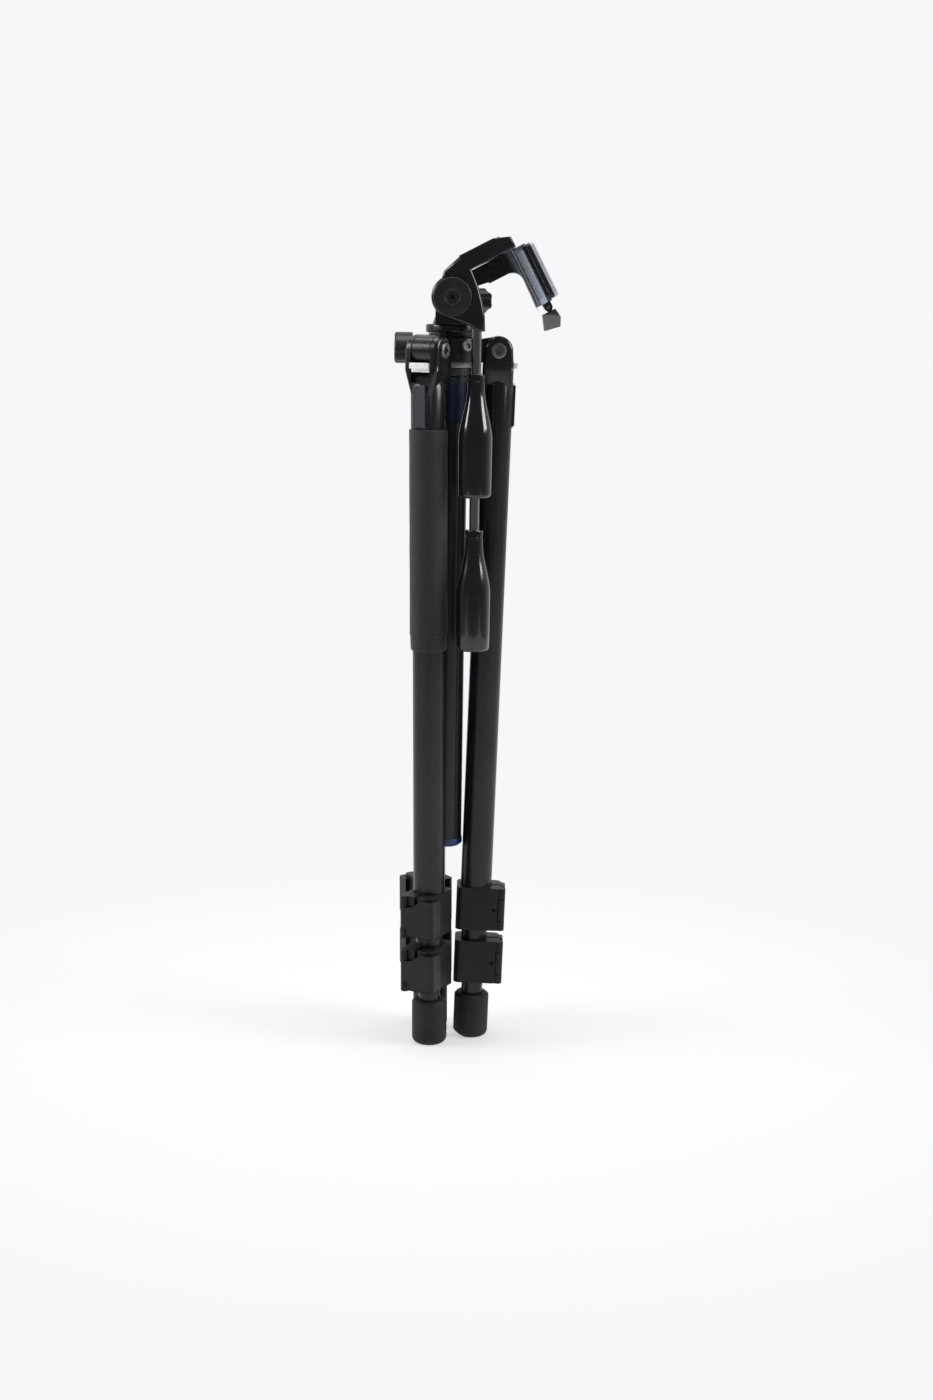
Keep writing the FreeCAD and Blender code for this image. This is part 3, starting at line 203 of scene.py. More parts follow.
def mouldedLook(name, look, matrix=None):
    material, tree, shader = startMaterial(name)
    vector = localCoords(tree, matrix)
    base = look["colour"]
    cloud = remap(tree, noise(tree, vector, look.get("cloud", 28), 5, 0.6), 0.3, 0.7, 0, 1)
    lighter = tuple(min(1, channel * look.get("vary", 1.35) + 0.003) for channel in base)
    tone = mixColour(tree, cloud, base, lighter)
    zones = [(zone, zoneMask(tree, vector, zone)) for zone in look.get("zones", ())]
    for zone, mask in zones:
        patch = mixColour(tree, cloud, zone["colour"], tuple(channel * 1.2 for channel in zone["colour"]))
        tone = mixColour(tree, mask, tone, patch)
    if "dust" in look:
        specks = remap(tree, noise(tree, vector, 900, 2, 0.6), 0.66, 0.74, 0, look["dust"])
        tone = mixColour(tree, specks, tone, tuple(min(1, channel * 2.2 + 0.05) for channel in base))
    edgeWearAndSheen = edgeMask(tree, look.get("edge", 0.0004), vector)
    wornAndSheen = combine(tree, "MULTIPLY", edgeWearAndSheen, look["edgeWearAndSheen"])
    tone = mixColour(tree, wornAndSheen, tone, look.get("bareAndSheen", tuple(channel * 2.4 + 0.05 for channel in base)))
    wire(tree, tone, shader.inputs["Base Color"])
    marks = noise(tree, localCoords(tree, matrix, (1, 1, 0.25)), mouldedFine["marks"], 6, 0.62)
    level, spread = look["roughness"], look.get("spread", 0.06)
    gloss = remap(tree, marks, 0.3, 0.75, level - spread, level + spread)
    for zone, mask in zones:
        if "shift" in zone:
            gloss = combine(tree, "ADD", gloss, combine(tree, "MULTIPLY", mask, zone["shift"]))
        if "metal" in zone:
            wire(tree, combine(tree, "MULTIPLY", mask, zone["metal"]), shader.inputs["Metallic"])
    wire(tree, gloss, shader.inputs["Roughness"])
    grain = noise(tree, vector, look["grain"], 2, 0.5)
    under = bumpFrom(tree, grain, mouldedFine["grainDepth"], look["grainForce"], shader)
    bumpFrom(tree, cloud, mouldedFine["waveDepth"], look.get("waveForce", 0.1), shader, under)
    shader.inputs["Specular IOR Level"].default_value = look.get("specular", 0.5)
    if "coat" in look:
        shader.inputs["Coat Weight"].default_value = look["coat"]
        shader.inputs["Coat Roughness"].default_value = look["coatRoughness"]
    return material


# Metal: tone bands, brush or lathe lines and rub marks
metalFine = {"edge": 0.0003, "lineDepth": 0.00002, "lineForce": 0.2}


def metalLook(name, look, matrix=None):
    material, tree, shader = startMaterial(name)
    vector = localCoords(tree, matrix)
    lines = noise(tree, localCoords(tree, matrix, look["lines"]), look["lineScale"], 3, 0.6)
    cloud = noise(tree, vector, look.get("cloud", 22), 4, 0.6)
    base = look["colour"]
    light = tuple(min(1, channel * look.get("vary", 1.25) + 0.004) for channel in base)
    tone = mixColour(tree, remap(tree, cloud, 0.3, 0.7, 0, 1), base, light)
    tone = mixColour(tree, remap(tree, lines, 0.35, 0.7, 0, look["lineTone"]), tone, light)
    edgeWearAndSheen = edgeMask(tree, metalFine["edge"], vector)
    tone = mixColour(tree, combine(tree, "MULTIPLY", edgeWearAndSheen, look["edgeWearAndSheen"]), tone, look["bareAndSheen"])
    wire(tree, tone, shader.inputs["Base Color"])
    level, spread = look["roughness"], look.get("spread", 0.07)
    wire(tree, remap(tree, lines, 0.3, 0.72, level - spread, level + spread), shader.inputs["Roughness"])
    bumpFrom(tree, lines, metalFine["lineDepth"], metalFine["lineForce"], shader)
    shader.inputs["Metallic"].default_value = look.get("metal", 1)
    return material


# Pieces

# Rides on the body of the CAD node that it stands for
def place(obj, node):
    bpy.context.scene.collection.objects.link(obj)
    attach(obj, nodes[node]["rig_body"])
    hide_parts(node)


edgeRounding = {"segments": 3, "angle": radians(32)}
smoothAngle = radians(35)


def smoothByAngle(mesh):
    for polygon in mesh.polygons:
        polygon.use_smooth = True
    mesh.set_sharp_from_angle(angle=smoothAngle)


def roundEdges(obj, width):
    bevel = obj.modifiers.new("roundEdges", "BEVEL")
    bevel.width = width
    bevel.segments = edgeRounding["segments"]
    bevel.limit_method = "ANGLE"
    bevel.angle_limit = edgeRounding["angle"]
    bevel.harden_normals = True
    bevel.use_clamp_overlap = False
    bevel.miter_outer = "MITER_ARC"


# A CAD piece with its edges rounded as a moulding's or casting's are, and its shape kept but for a cut
weldGap = 0.000004
plainEdge = 0.0003


def dressed(node, material, width, cut):
    mesh = nodes[node].data.copy()
    mesh.materials.clear()
    mesh.materials.append(material)
    work = bmesh.new()
    work.from_mesh(mesh)
    bmesh.ops.remove_doubles(work, verts=work.verts, dist=weldGap)
    bmesh.ops.dissolve_degenerate(work, edges=work.edges, dist=weldGap)
    bmesh.ops.dissolve_limit(work, angle_limit=radians(0.6), verts=work.verts, edges=work.edges)
    if cut:
        cut(work)
    for face in work.faces:
        face.material_index = 0
    work.to_mesh(mesh)
    work.free()
    mesh.name = "dressed_" + node
    obj = bpy.data.objects.new(mesh.name, mesh)
    smoothByAngle(mesh)
    if width:
        roundEdges(obj, width)
    place(obj, node)


# The platform's sides are drawn in below its rim, as the flare of the casting
flareSize = {"low": 0.046, "shelf": 0.0545, "high": 0.0633, "reach": 0.0173, "neck": 0.012, "rim": 0.024,
             "start": 0.0015, "sweep": 0.003, "strips": 14}


def flareWidth(height):
    share = min(max(height - flareSize["low"], 0) / flareSize["reach"], 1)
    return flareSize["neck"] + flareSize["start"] * share + flareSize["sweep"] * share * share


def drawFlare(work):
    size = flareSize
    back = headMatrix.inverted()
    across = headMatrix.to_3x3() @ Vector((0, 0, 1))
    heights = [size["low"] + (size["high"] - size["low"]) * step / size["strips"]
               for step in range(size["strips"] + 1)]
    for height in heights + [size["high"] + 0.0001]:
        bmesh.ops.bisect_plane(work, geom=work.verts[:] + work.edges[:] + work.faces[:], dist=0.000002,
                               plane_co=headMatrix @ Vector((0, 0, height)), plane_no=across)
    for vert in work.verts:
        spot = back @ vert.co
        out = abs(spot.y)
        if not size["low"] < spot.z < size["high"] + 0.00005 or out < size["neck"] - 0.0001:
            continue
        width = flareWidth(spot.z)
        if spot.z > size["shelf"] + 0.00005:
            share = max(out - size["neck"], 0) / (size["rim"] - size["neck"])
            width = size["neck"] + (width - size["neck"]) * share
        spot.y = width * (1 if spot.y > 0 else -1)
        vert.co = headMatrix @ spot
    bmesh.ops.remove_doubles(work, verts=work.verts, dist=weldGap)
    bmesh.ops.dissolve_degenerate(work, edges=work.edges, dist=weldGap)


# Hexagon sockets sunk in the round ends of the tilt axle
def sinkSockets(work, headRadius, across, depth):
    for face in [face for face in work.faces if len(face.verts) > 11]:
        centre = face.calc_center_median()
        radii = [(vert.co - centre).length for vert in face.verts]
        if min(radii) < headRadius * 0.86 or max(radii) > headRadius * 1.14:
            continue
        normal = face.normal.copy()
        side = (face.verts[0].co - centre).normalized()
        other = normal.cross(side)
        bmesh.ops.inset_individual(work, faces=[face], thickness=headRadius * 0.3, depth=0)
        for vert in face.verts:
            out = vert.co - centre
            angle = atan2(out.dot(other), out.dot(side))
            reach = across / 2 / cos((angle % (pi / 3)) - pi / 6)
            vert.co = centre + (side * cos(angle) + other * sin(angle)) * reach
        pushed = bmesh.ops.extrude_discrete_faces(work, faces=[face])["faces"]
        for floor in pushed:
            for vert in floor.verts:
                vert.co -= normal * depth


# Lathe work: a profile of (radius, height) spun about z, then put in its frame
def lathed(name, profile, material, matrix=None, segments=96, closed=False):
    work = bmesh.new()
    ring = [work.verts.new((radius, 0, height)) for radius, height in profile]
    edges = [work.edges.new(pair) for pair in zip(ring, ring[1:])]
    if closed:
        edges.append(work.edges.new((ring[-1], ring[0])))
    bmesh.ops.spin(work, geom=ring + edges, cent=(0, 0, 0), axis=(0, 0, 1), angle=2 * pi,
                   steps=segments, use_merge=True)
    bmesh.ops.remove_doubles(work, verts=work.verts, dist=0.000002)
    bmesh.ops.recalc_face_normals(work, faces=work.faces)
    if matrix is not None:
        bmesh.ops.transform(work, matrix=matrix, verts=work.verts)
    mesh = bpy.data.meshes.new(name)
    work.to_mesh(mesh)
    work.free()
    mesh.materials.append(material)
    smoothByAngle(mesh)
    return bpy.data.objects.new(name, mesh)


# Finishes

tubeLook = {"colour": (0.011, 0.0115, 0.013), "roughness": 0.3, "spread": 0.05, "metal": 0.35, "vary": 1.5,
            "lines": (40, 40, 1.2), "lineScale": 30, "lineTone": 0.25, "cloud": 16, "edgeWearAndSheen": 0.5,
            "bareAndSheen": (0.3, 0.3, 0.32)}
headLook = {"colour": (0.0062, 0.0066, 0.0078), "roughness": 0.25, "vary": 1.6, "cloud": 34, "edgeWearAndSheen": 0.35,
            "edge": 0.0005, "bareAndSheen": (0.09, 0.09, 0.1), "grain": 1900, "grainForce": 0.12}

# A grey thumb pad, and painted shade that darkens the window above it
castLookWithPaintedShade = {**headLook, "zones": ({"X": (0.0139, 0.03), "Y": (-0.0056, 0.0056), "Z": (-0.0577, -0.0258),
                                   "colour": (0.043, 0.042, 0.05), "shift": 0.12},
                                  {"X": (-0.012, 0.0136), "Y": (-0.0079, 0.0079), "Z": (-0.0252, -0.015),
                                   "colour": (0.0035, 0.0038, 0.0028), "shift": 0.6})}

# The pale zone on the front flare stands for the highlight that the photograph shows there
bracketLook = {**headLook, "roughness": 0.27, "vary": 1.3, "edgeWearAndSheen": 0.3, "grainForce": 0.04, "waveForce": 0.03,
               "zones": ({"Z": (0.055, 0.06335), "Y": (-0.05, -0.0118), "fade": 0.0055,
                          "colour": (0.38, 0.42, 0.48), "metal": 0.85},)}
# Painted highlight: the tilt arm's edges are worn wide and pale, standing for the bright highlight along them
armLookPaintedEdgeHighlight = {**headLook, "edgeWearAndSheen": 0.9, "edge": 0.0012, "bareAndSheen": (0.22, 0.225, 0.235)}
lockLook = {"colour": (0.009, 0.0095, 0.0107), "roughness": 0.42, "vary": 1.4, "cloud": 40, "edgeWearAndSheen": 0.3,
            "edge": 0.0004, "bareAndSheen": (0.08, 0.08, 0.09), "grain": 2400, "grainForce": 0.4, "dust": 0.15,
            "specular": 0.2}
leverLook = {"colour": (0.0105, 0.011, 0.0125), "roughness": 0.34, "vary": 1.35, "cloud": 30, "edgeWearAndSheen": 0.4,
             "edge": 0.0004, "bareAndSheen": (0.1, 0.1, 0.11), "grain": 1500, "grainForce": 0.15, "specular": 0.22}
knobLook = {**leverLook, "colour": (0.026, 0.027, 0.03)}
rubberLook = {"colour": (0.014, 0.0143, 0.0155), "roughness": 0.6, "vary": 1.5, "cloud": 50, "edgeWearAndSheen": 0.5,
              "edge": 0.0008, "bareAndSheen": (0.06, 0.058, 0.056), "grain": 1300, "grainForce": 0.5, "dust": 0.35,
              "specular": 0.2}
gripLook = {"colour": (0.0045, 0.0048, 0.0058), "roughness": 0.16, "spread": 0.04, "vary": 1.4, "edgeWearAndSheen": 0.1,
            "grain": 900, "grainForce": 0.03, "coat": 0.5, "coatRoughness": 0.06}
# Painted highlights: the bands round the bushing's top are paler than the navy, standing for the light on it
bushingLookPaintedHighlights = {"colour": (0.0042, 0.0075, 0.024), "roughness": 0.28, "vary": 1.6, "edgeWearAndSheen": 0.25,
               "bareAndSheen": (0.05, 0.07, 0.14), "grain": 1500, "grainForce": 0.12,
               "zones": ({"Z": (0.5405, 0.56), "colour": (0.2, 0.2, 0.21)},
                         {"Z": (0.5347, 0.5405), "colour": (0.03, 0.031, 0.034)},
                         {"Z": (0.5275, 0.5335), "colour": (0.012, 0.017, 0.027)})}
ringLook = {"colour": (0.006, 0.018, 0.075), "roughness": 0.3, "vary": 1.4, "edgeWearAndSheen": 0.25,
            "bareAndSheen": (0.08, 0.12, 0.3), "grain": 1500, "grainForce": 0.15}
plateLook = {"colour": (0.0055, 0.0085, 0.0155), "roughness": 0.4, "vary": 1.3, "edgeWearAndSheen": 0.2,
             "bareAndSheen": (0.1, 0.11, 0.13), "grain": 1700, "grainForce": 0.2,
             "zones": ({"Z": (0.0698, 0.08), "colour": (0.5, 0.515, 0.54)},)}
steelLook = {"colour": (0.5, 0.5, 0.52), "roughness": 0.27, "lines": (1, 1, 30), "lineScale": 30,
             "lineTone": 0.4, "edgeWearAndSheen": 0.4, "bareAndSheen": (0.8, 0.8, 0.82)}
boltLook = {"colour": (0.16, 0.162, 0.17), "roughness": 0.36, "metal": 0.8, "lines": (1, 1, 30),
            "lineScale": 30, "lineTone": 0.3, "edgeWearAndSheen": 0.5, "bareAndSheen": (0.3, 0.3, 0.31)}
axleLook = {"colour": (0.02, 0.0205, 0.023), "roughness": 0.38, "metal": 0.6, "lines": (1, 1, 30),
            "lineScale": 30, "lineTone": 0.3, "edgeWearAndSheen": 0.4, "bareAndSheen": (0.15, 0.15, 0.16)}
# Painted reflection: the latch's near-white colour stands for the bright reflection of its polished face
latchLookPaintedReflection = {"colour": (0.95, 0.955, 0.965), "roughness": 0.3, "metal": 0.1, "lines": (1, 14, 14),
             "lineScale": 40, "lineTone": 0.4, "edgeWearAndSheen": 0.2, "bareAndSheen": (0.9, 0.9, 0.92)}
chromeLook = {"colour": (0.34, 0.325, 0.3), "roughness": 0.17, "spread": 0.03, "lines": (30, 30, 1),
              "lineScale": 30, "lineTone": 0.15, "edgeWearAndSheen": 0.1, "bareAndSheen": (0.9, 0.9, 0.92)}
hubLook = {"colour": (0.0125, 0.0132, 0.0155), "roughness": 0.42, "vary": 1.25, "edgeWearAndSheen": 0.35,
           "bareAndSheen": (0.1, 0.1, 0.11), "grain": 1500, "grainForce": 0.2, "specular": 0.35}
# Painted light: the release lever's lower part is light grey, standing for its lit face
releaseLookPaintedLight = {"colour": (0.03, 0.0305, 0.032), "roughness": 0.42, "vary": 1.25, "edgeWearAndSheen": 0.35,
               "bareAndSheen": (0.25, 0.25, 0.26), "grain": 1500, "grainForce": 0.2,
               "zones": ({"Z": (0.5, 0.5815), "soft": 0.0008, "colour": (0.17, 0.17, 0.175)},)}

tubeFinish = {leg: metalLook(f"anodisedTube.{leg}", tubeLook, legMatrix(leg)) for leg in legNames}
castFinish = {leg: mouldedLook(f"satinCasting.{leg}", castLookWithPaintedShade, legMatrix(leg)) for leg in legNames}
columnFinish = metalLook("anodisedColumn", tubeLook)
headFinish = mouldedLook("satinHead", headLook)
armFinish = mouldedLook("tiltArmPaintedEdgeHighlight", armLookPaintedEdgeHighlight)
bracketFinish = mouldedLook("lacqueredBracketPaintedHighlight", bracketLook, headMatrix)
lockFinish = mouldedLook("lockMoulding", lockLook)
leverFinish = mouldedLook("leverMoulding", leverLook)
rubberFinish = mouldedLook("footRubber", rubberLook)
gripFinish = mouldedLook("glossyGrip", gripLook, handleMatrix)
bushingFinish = mouldedLook("navyMouldingPaintedHighlights", bushingLookPaintedHighlights)
ringFinish = mouldedLook("blueMoulding", ringLook)
plateFinish = mouldedLook("platePad", plateLook, headMatrix)
releaseFinish = mouldedLook("releaseMouldingPaintedLight", releaseLookPaintedLight)
hubFinish = mouldedLook("hubCapPaint", hubLook, headMatrix)
knobFinish = mouldedLook("knobMoulding", knobLook)
steelFinish = metalLook("screwSteel", steelLook)
boltFinish = metalLook("blackenedBolt", boltLook)
axleFinish = metalLook("blackenedAxle", axleLook, headMatrix)
latchFinish = metalLook("latchSteelPaintedReflection", latchLookPaintedReflection)
chromeFinish = metalLook("rodChrome", chromeLook, handleMatrix)
print("finishes made")


# Tubes of the legs, the inner two with a sleeve ring at the top
tubeSizes = {"upper": (0.0125, 0.026, 0.4501), "mid": (0.0104, 0.078, 0.4946),
             "lower": (0.0086, 0.092, 0.540), "wall": 0.0012, "ring": 0.018, "slack": 0.00006,
             "chamfer": 0.0003}


def makeTubes(leg):
    wall, slack, chamfer = tubeSizes["wall"], tubeSizes["slack"], tubeSizes["chamfer"]
    outerOf = {"mid": "upper", "lower": "mid"}
    for level in ("upper", "mid", "lower"):
        radius, top, bottom = tubeSizes[level]
        profile = [(radius - wall, -bottom), (radius - chamfer, -bottom), (radius, -bottom + chamfer)]
        if level in outerOf:
            ringRadius = tubeSizes[outerOf[level]][0] - wall - slack
            ringLow = -top - tubeSizes["ring"]
            profile += [(radius, ringLow), (ringRadius, ringLow), (ringRadius, -top)]
        else:
            profile += [(radius, -top)]
        profile += [(radius - wall, -top)]
        node = f"{level}_tube_{leg}"
        tube = lathed("drawn_" + node, profile, tubeFinish[leg], legMatrix(leg), 72, closed=True)
        place(tube, node)


for leg in legNames:
    makeTubes(leg)
print("tubes drawn")


# Foam sleeve: a crisp rim at its top and a tapered hem at its lower end
foamLook = {"colour": (0.014, 0.0145, 0.016), "cell": 1500, "depth": 0.00035, "rough": 0.78}
foamSize = {"inner": 0.0125, "outer": 0.0148, "top": 0.0593, "bottom": 0.2308, "round": 0.0016,
            "wave": 0.00018, "waveStep": 0.0185, "hem": 0.0115, "hemInset": 0.0007, "hemRound": 0.0013,
            "crease": 0.0005, "creaseAbove": 0.0006, "creaseBelow": 0.0008, "creaseFoot": 0.0004}


def foamShade(factor):
    return tuple(channel * factor for channel in foamLook["colour"])


def foamMaterial():
    material, tree, shader = startMaterial("closedCellFoam")
    vector = localCoords(tree, legMatrix("a"))
    cells = addNode(tree, "TexVoronoi", feature="F1", Scale=foamLook["cell"])
    wire(tree, vector, cells.inputs["Vector"])
    cloud = noise(tree, vector, 45, 5, 0.65)
    wornAndSheen = noise(tree, localCoords(tree, legMatrix("a"), (1, 1, 0.4)), 14, 4, 0.6)
    tone = mixColour(tree, remap(tree, cloud, 0.3, 0.7, 0, 1), foamLook["colour"], foamShade(1.35))
    tone = mixColour(tree, remap(tree, cells.outputs["Distance"], 0.1, 0.6, 0.5, 0), tone, foamShade(0.55))
    tone = mixColour(tree, remap(tree, wornAndSheen, 0.52, 0.72, 0, 0.35), tone, foamShade(1.9))
    wire(tree, tone, shader.inputs["Base Color"])
    wire(tree, remap(tree, wornAndSheen, 0.3, 0.7, foamLook["rough"], foamLook["rough"] - 0.14),
         shader.inputs["Roughness"])
    under = bumpFrom(tree, cells.outputs["Distance"], foamLook["depth"], 0.55, shader)
    bumpFrom(tree, cloud, 0.0006, 0.35, shader, under)
    shader.inputs["Specular IOR Level"].default_value = 0.35
    shader.inputs["Sheen Weight"].default_value = 0.15
    shader.inputs["Sheen Roughness"].default_value = 0.5
    return material


def makeFoam():
    size = foamSize
    outer, inner, soft = size["outer"], size["inner"], size["round"]
    profile = [(inner, -size["top"])]
    for step in range(7):
        turn = radians(90 - 15 * step)
        profile.append((outer - soft + soft * cos(turn), -size["top"] - soft + soft * sin(turn)))
    for step in range(1, 9):
        height = -size["top"] - soft - size["waveStep"] * step
        profile.append((outer - size["wave"] * sin(step * 1.9) ** 2, height))
    hem = -size["bottom"] + size["hem"]
    profile += [(outer, hem + size["creaseAbove"]), (outer - size["crease"], hem),
                (outer - size["creaseFoot"], hem - size["creaseBelow"])]
    low = size["hemRound"]
    for step in range(7):
        turn = radians(-15 * step)
        profile.append((outer - size["hemInset"] - low + low * cos(turn),
                        -size["bottom"] + low + low * sin(turn)))
    profile.append((inner, -size["bottom"]))
    sleeve = lathed("foam_sleeve", profile, foamMaterial(), legMatrix("a"), closed=True)
    place(sleeve, "foam_grip")


makeFoam()
print("foam sleeve made")


# Chromed rods and glossy bottle-shaped grips on one line below the head
handleSize = {"rod": 0.0039, "thread": 0.012, "neck": 0.007, "belly": 0.0132, "neckLength": 0.010,
              "sweep": 0.040, "length": 0.094, "end": 0.003, "lip": 0.001, "groove": 0.0004,
              "grooveFrom": 0.0042, "grooveTo": 0.0058, "play": 0.00006, "mouth": 0.0008, "seat": 0.00035,
              "rodChamfer": 0.0006, "taper": 0.0002, "taperRise": 0.015, "endInset": 0.0004,
              "starts": {1: (0.0255, 0.057), 2: (0.151, 0.1756)}}


def gripProfile(start):
    size = handleSize
    neck, lip, groove = size["neck"], size["lip"], size["groove"]
    profile = [(size["rod"], start), (neck - lip, start)]
    for step in range(1, 5):
        turn = radians(90 - 22.5 * step)
        profile.append((neck - lip + lip * cos(turn), start + lip - lip * sin(turn)))
    grooveFrom, grooveTo = start + size["grooveFrom"], start + size["grooveTo"]
    profile += [(neck, grooveFrom), (neck - groove, grooveFrom + groove),
                (neck - groove, grooveTo - groove), (neck, grooveTo)]
    for step in range(25):
        share = step / 24
        ease = share * share * (3 - 2 * share)
        profile.append((neck + (size["belly"] - neck) * ease,
                        start + size["neckLength"] + size["sweep"] * share))
    end = start + size["length"]
    profile.append((size["belly"] - size["taper"], end - size["taperRise"]))
    for step in range(7):
        turn = radians(15 * step)
        profile.append((size["belly"] - size["endInset"] - size["end"] + size["end"] * cos(turn),
                        end - size["end"] + size["end"] * sin(turn)))
    hole, bottom = size["rod"] + size["play"], end - size["thread"] - size["seat"]
    profile += [(hole + size["mouth"], end), (hole, end - size["mouth"]), (hole, bottom), (0, bottom),
                (0, start + size["thread"]), (size["rod"], start + size["thread"])]
    return profile


def rodProfile(start, end):
    radius, chamfer = handleSize["rod"], handleSize["rodChamfer"]
    return [(0, start), (radius - chamfer, start), (radius, start + chamfer), (radius, end), (0, end)]


def makeHandles():
    thread = handleSize["thread"]
    for order, (rodShows, gripStart) in handleSize["starts"].items():
        rod = lathed(f"chromed_rod_{order}", rodProfile(rodShows - thread, gripStart + thread),
                     chromeFinish, handleMatrix, 64)
        place(rod, f"handle_rod_{order}")
        grip = lathed(f"bottle_grip_{order}", gripProfile(gripStart), gripFinish, handleMatrix,
                      closed=True)
        place(grip, f"handle_grip_{order}")


makeHandles()
print("handles made")


# Pivot bolts: a round flange with a hexagon socket at each end
pivotBolt = {"shank": 0.0025, "flange": 0.006, "under": 0.01486, "end": 0.01645, "socket": 0.0029,
             "deep": 0.0026, "socketFrom": 0.012, "recess": 0.0007, "face": 0.0001}


def pivotBoltProfile():
    size = pivotBolt
    socket, flange, end = size["socket"], size["flange"], size["end"]
    floor, recess, face = end - size["deep"], end - size["recess"], end - size["face"]
    half = [(0, floor), (socket, floor), (socket, recess), (socket + 0.0006, recess), (socket + 0.001, face),
            (flange - 0.0009, face), (flange - 0.0003, end - 0.0004), (flange, end - 0.001),
            (flange, size["under"]), (size["shank"], size["under"])]
    return half + [(radius, -height) for radius, height in reversed(half)]


def makePivotBolts():
    work = bmesh.new()
    for leg in legNames:
        bolt = lathed("pivotBolt", pivotBoltProfile(), boltFinish)
        lay = legMatrix(leg) @ Matrix.Rotation(-pi / 2, 4, "X")
        part = bmesh.new()
        part.from_mesh(bolt.data)
        for vert in part.verts:
            out = Vector((vert.co.x, vert.co.y))
            onRim = 0.0001 < out.length < pivotBolt["socket"] + 0.0001
            if onRim and abs(vert.co.z) > pivotBolt["socketFrom"]:
                turn = atan2(out.y, out.x) % (pi / 3) - pi / 6
                out = out.normalized() * pivotBolt["socket"] * cos(pi / 6) / cos(turn)
                vert.co.x, vert.co.y = out
        bmesh.ops.transform(part, matrix=lay, verts=part.verts)
        part.to_mesh(bolt.data)
        part.free()
        work.from_mesh(bolt.data)
        bpy.data.objects.remove(bolt)
    mesh = bpy.data.meshes.new("pivotBolts")
    work.to_mesh(mesh)
    work.free()
    mesh.materials.append(boltFinish)
    smoothByAngle(mesh)
    place(bpy.data.objects.new("pivotBolts", mesh), "leg_pivot_bolts")


makePivotBolts()
print("pivot bolts made")


# Every CAD piece that nothing drawn above stands for, in its finish
finishOf = {
    "centre_column": columnFinish, "column_bushing": bushingFinish, "column_end_ring": ringFinish,
    "camera_plate": plateFinish, "camera_screw": steelFinish, "release_lever": releaseFinish,
    "hub_cap": hubFinish, "side_tilt_bracket": bracketFinish, "tilt_body": armFinish,
    "tilt_axle": axleFinish, "column_clamp_knob": knobFinish, "pan_lock_knob": knobFinish,
    "guide_screw": boltFinish, "side_tilt_bolt": boltFinish, "release_pin": boltFinish,
    "upper_collar": lockFinish, "lower_collar": lockFinish, "upper_lever": leverFinish,
    "lower_lever": leverFinish, "upper_lock_pins": leverFinish, "lower_lock_pins": leverFinish,
    "foot": rubberFinish, "angle_latch": latchFinish,
}
axleSocket = {"headRadius": 0.0045, "across": 0.004, "depth": 0.002}
cutOf = {"side_tilt_bracket": drawFlare, "tilt_axle": lambda work: sinkSockets(work, **axleSocket)}
edgeWidth = {"tilt_body": 0, "side_tilt_bracket": 0.0004, "hub_cap": 0.0005, "release_lever": 0.0005,
             "shoulder": 0.0005, "pan_base": 0.0005, "column_clamp_knob": 0.0006, "pan_lock_knob": 0.0006}
for node in sorted(nodes):
    if nodes[node].hide_render:
        continue
    stem, leg = (node[:-2], node[-1]) if node[-2:] in ("_a", "_b", "_c") else (node, None)
    finish = castFinish[leg] if stem == "leg_casting" else finishOf.get(stem, headFinish)
    dressed(node, finish, edgeWidth.get(stem, plainEdge), cutOf.get(stem))
print("pieces dressed")


# Stage, light and camera

stageLook = {"white": (0.915, 0.928, 0.945), "floor": (0.8, 0.805, 0.815), "size": 3.2,
             "near": 0.05, "far": 0.55, "lift": 0.55}


# Far from the object the floor is plain white; near it, it keeps a soft shadow
def whiteTo(material, paint, vector):
    tree = material.node_tree
    output = tree.nodes["Material Output"]
    rays = addNode(tree, "LightPath")
    glow = addNode(tree, "Emission", Strength=1.0)
    glow.inputs["Color"].default_value = (*stageLook["white"], 1)
    blend = addNode(tree, "MixShader")
    reach = addNode(tree, "VectorMath", operation="LENGTH")
    wire(tree, vector, reach.inputs[0])
    far = remap(tree, reach.outputs["Value"], stageLook["near"], stageLook["far"], stageLook["lift"], 1)
    seen = combine(tree, "MAXIMUM", rays.outputs["Is Glossy Ray"], rays.outputs["Is Transmission Ray"])
    shown = combine(tree, "MULTIPLY", far, rays.outputs["Is Camera Ray"])
    wire(tree, combine(tree, "MAXIMUM", seen, shown), blend.inputs["Fac"])
    wire(tree, paint.outputs["BSDF"], blend.inputs[1])
    wire(tree, glow.outputs["Emission"], blend.inputs[2])
    wire(tree, blend.outputs["Shader"], output.inputs["Surface"])


def makeStage():
    material, tree, shader = startMaterial("paleFloor")
    vector = localCoords(tree)
    tone = mixColour(tree, noise(tree, vector, 3, 3), stageLook["floor"],
                     tuple(channel * 0.99 for channel in stageLook["floor"]))
    wire(tree, tone, shader.inputs["Base Color"])
    shader.inputs["Roughness"].default_value = 0.9
    whiteTo(material, shader, vector)
    work = bmesh.new()
    bmesh.ops.create_grid(work, x_segments=1, y_segments=1, size=stageLook["size"] / 2)
    mesh = bpy.data.meshes.new("floor")
    work.to_mesh(mesh)
    work.free()
    mesh.materials.append(material)
    floor = bpy.data.objects.new("floor", mesh)
    bpy.context.scene.collection.objects.link(floor)


# The room is dim on the camera's side and pale behind the object
worldLook = {"front": 0.11, "back": 0.85, "turn": -0.35}


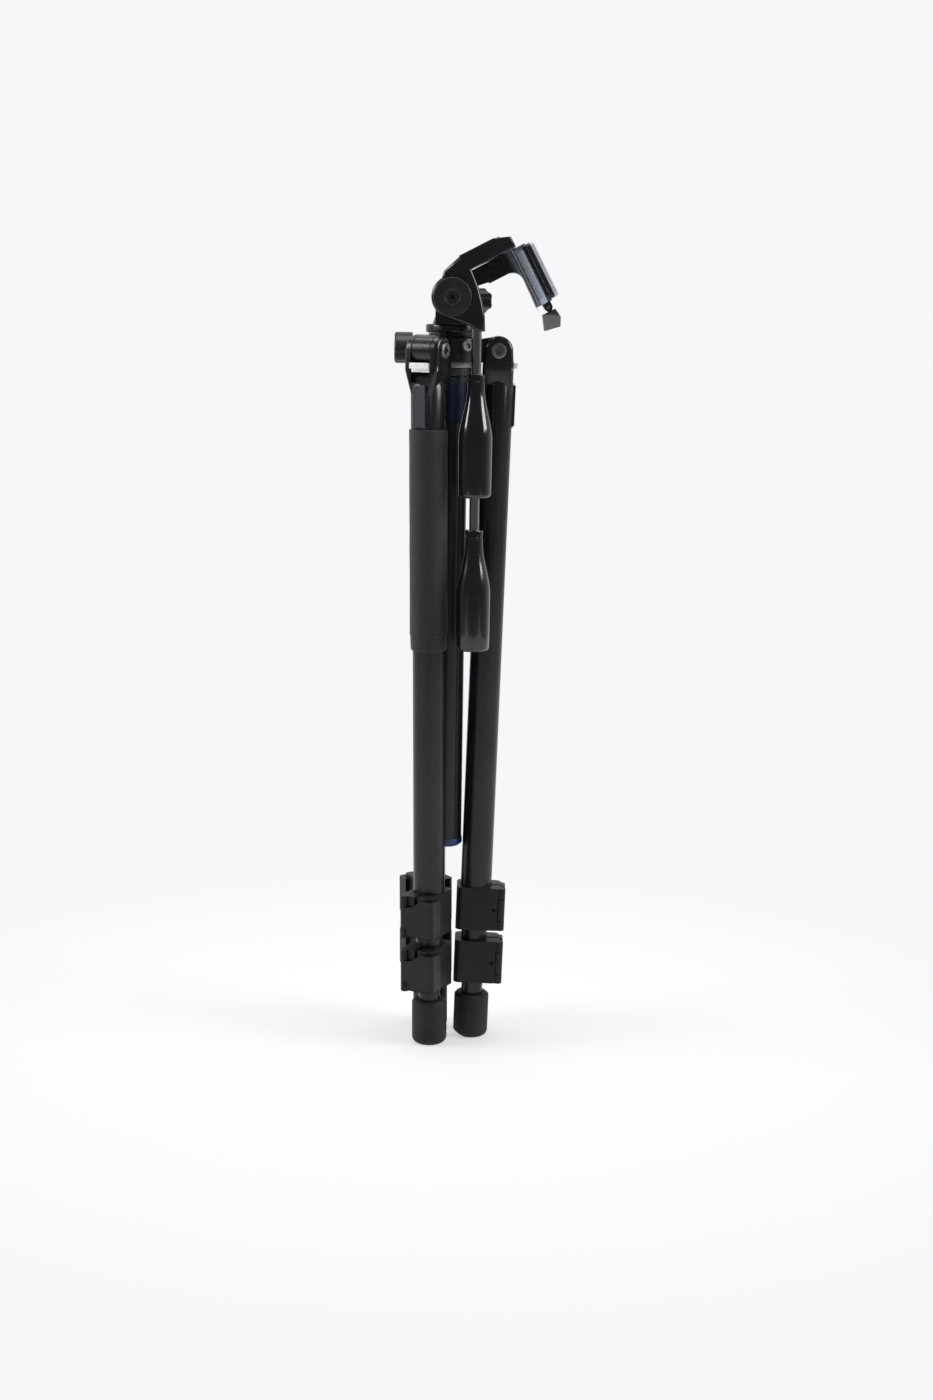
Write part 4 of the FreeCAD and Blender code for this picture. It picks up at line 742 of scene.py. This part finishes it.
def makeWorld():
    world = bpy.data.worlds.new("studio")
    bpy.context.scene.world = world
    world.use_nodes = True
    tree = world.node_tree
    rays = addNode(tree, "LightPath")
    seen = addNode(tree, "Background", Strength=1.0)
    light = addNode(tree, "Background")
    light.inputs["Color"].default_value = (0.96, 0.98, 1, 1)
    split = addNode(tree, "SeparateXYZ")
    wire(tree, localCoords(tree), split.inputs[0])
    wire(tree, remap(tree, split.outputs["Y"], worldLook["turn"], 1, worldLook["front"], worldLook["back"]),
         light.inputs["Strength"])
    seen.inputs["Color"].default_value = (*stageLook["white"], 1)
    blend = addNode(tree, "MixShader")
    wire(tree, rays.outputs["Is Camera Ray"], blend.inputs["Fac"])
    wire(tree, light.outputs["Background"], blend.inputs[1])
    wire(tree, seen.outputs["Background"], blend.inputs[2])
    wire(tree, blend.outputs["Shader"], tree.nodes["World Output"].inputs["Surface"])


lamps = {"leftSoftbox": ((-1.7, -0.25, 1.3), (0, 0, 0.4), (0.9, 0.9), 27),
         "rightSoftbox": ((1.75, -0.45, 1.35), (0, 0, 0.4), (0.9, 1.1), 31),
         "topSoftbox": ((0, 0.15, 2.0), (0, 0, 0.3), (1.5, 1.1), 22)}


def addLamp(name, spot, target, size, watts):
    data = bpy.data.lights.new(name, "AREA")
    data.shape = "RECTANGLE"
    data.size, data.size_y = size
    data.energy = watts
    lamp = bpy.data.objects.new(name, data)
    aim = Vector(target) - Vector(spot)
    lamp.location = spot
    lamp.rotation_euler = aim.to_track_quat("-Z", "Y").to_euler()
    bpy.context.scene.collection.objects.link(lamp)


cameraLook = {"distance": 1.647, "pitch": radians(10.8), "roll": radians(0.87), "lens": 53.1,
              "target": (0.0151, 0, 0.2787)}


def makeCamera():
    data = bpy.data.cameras.new("camera")
    data.sensor_width = 36
    data.lens = cameraLook["lens"]
    data.clip_start, data.clip_end = 0.05, 50
    camera = bpy.data.objects.new("camera", data)
    back = Matrix.Rotation(pi / 2 - cameraLook["pitch"], 4, "X")
    spin = Matrix.Rotation(cameraLook["roll"], 4, "Z")
    reach = Matrix.Translation((0, 0, cameraLook["distance"]))
    camera.matrix_world = Matrix.Translation(cameraLook["target"]) @ back @ spin @ reach
    bpy.context.scene.collection.objects.link(camera)
    bpy.context.scene.camera = camera


makeStage()
makeWorld()
for name, settings in lamps.items():
    addLamp(name, *settings)
makeCamera()
bpy.context.scene.view_settings.view_transform = "Standard"

bpy.context.view_layer.update()
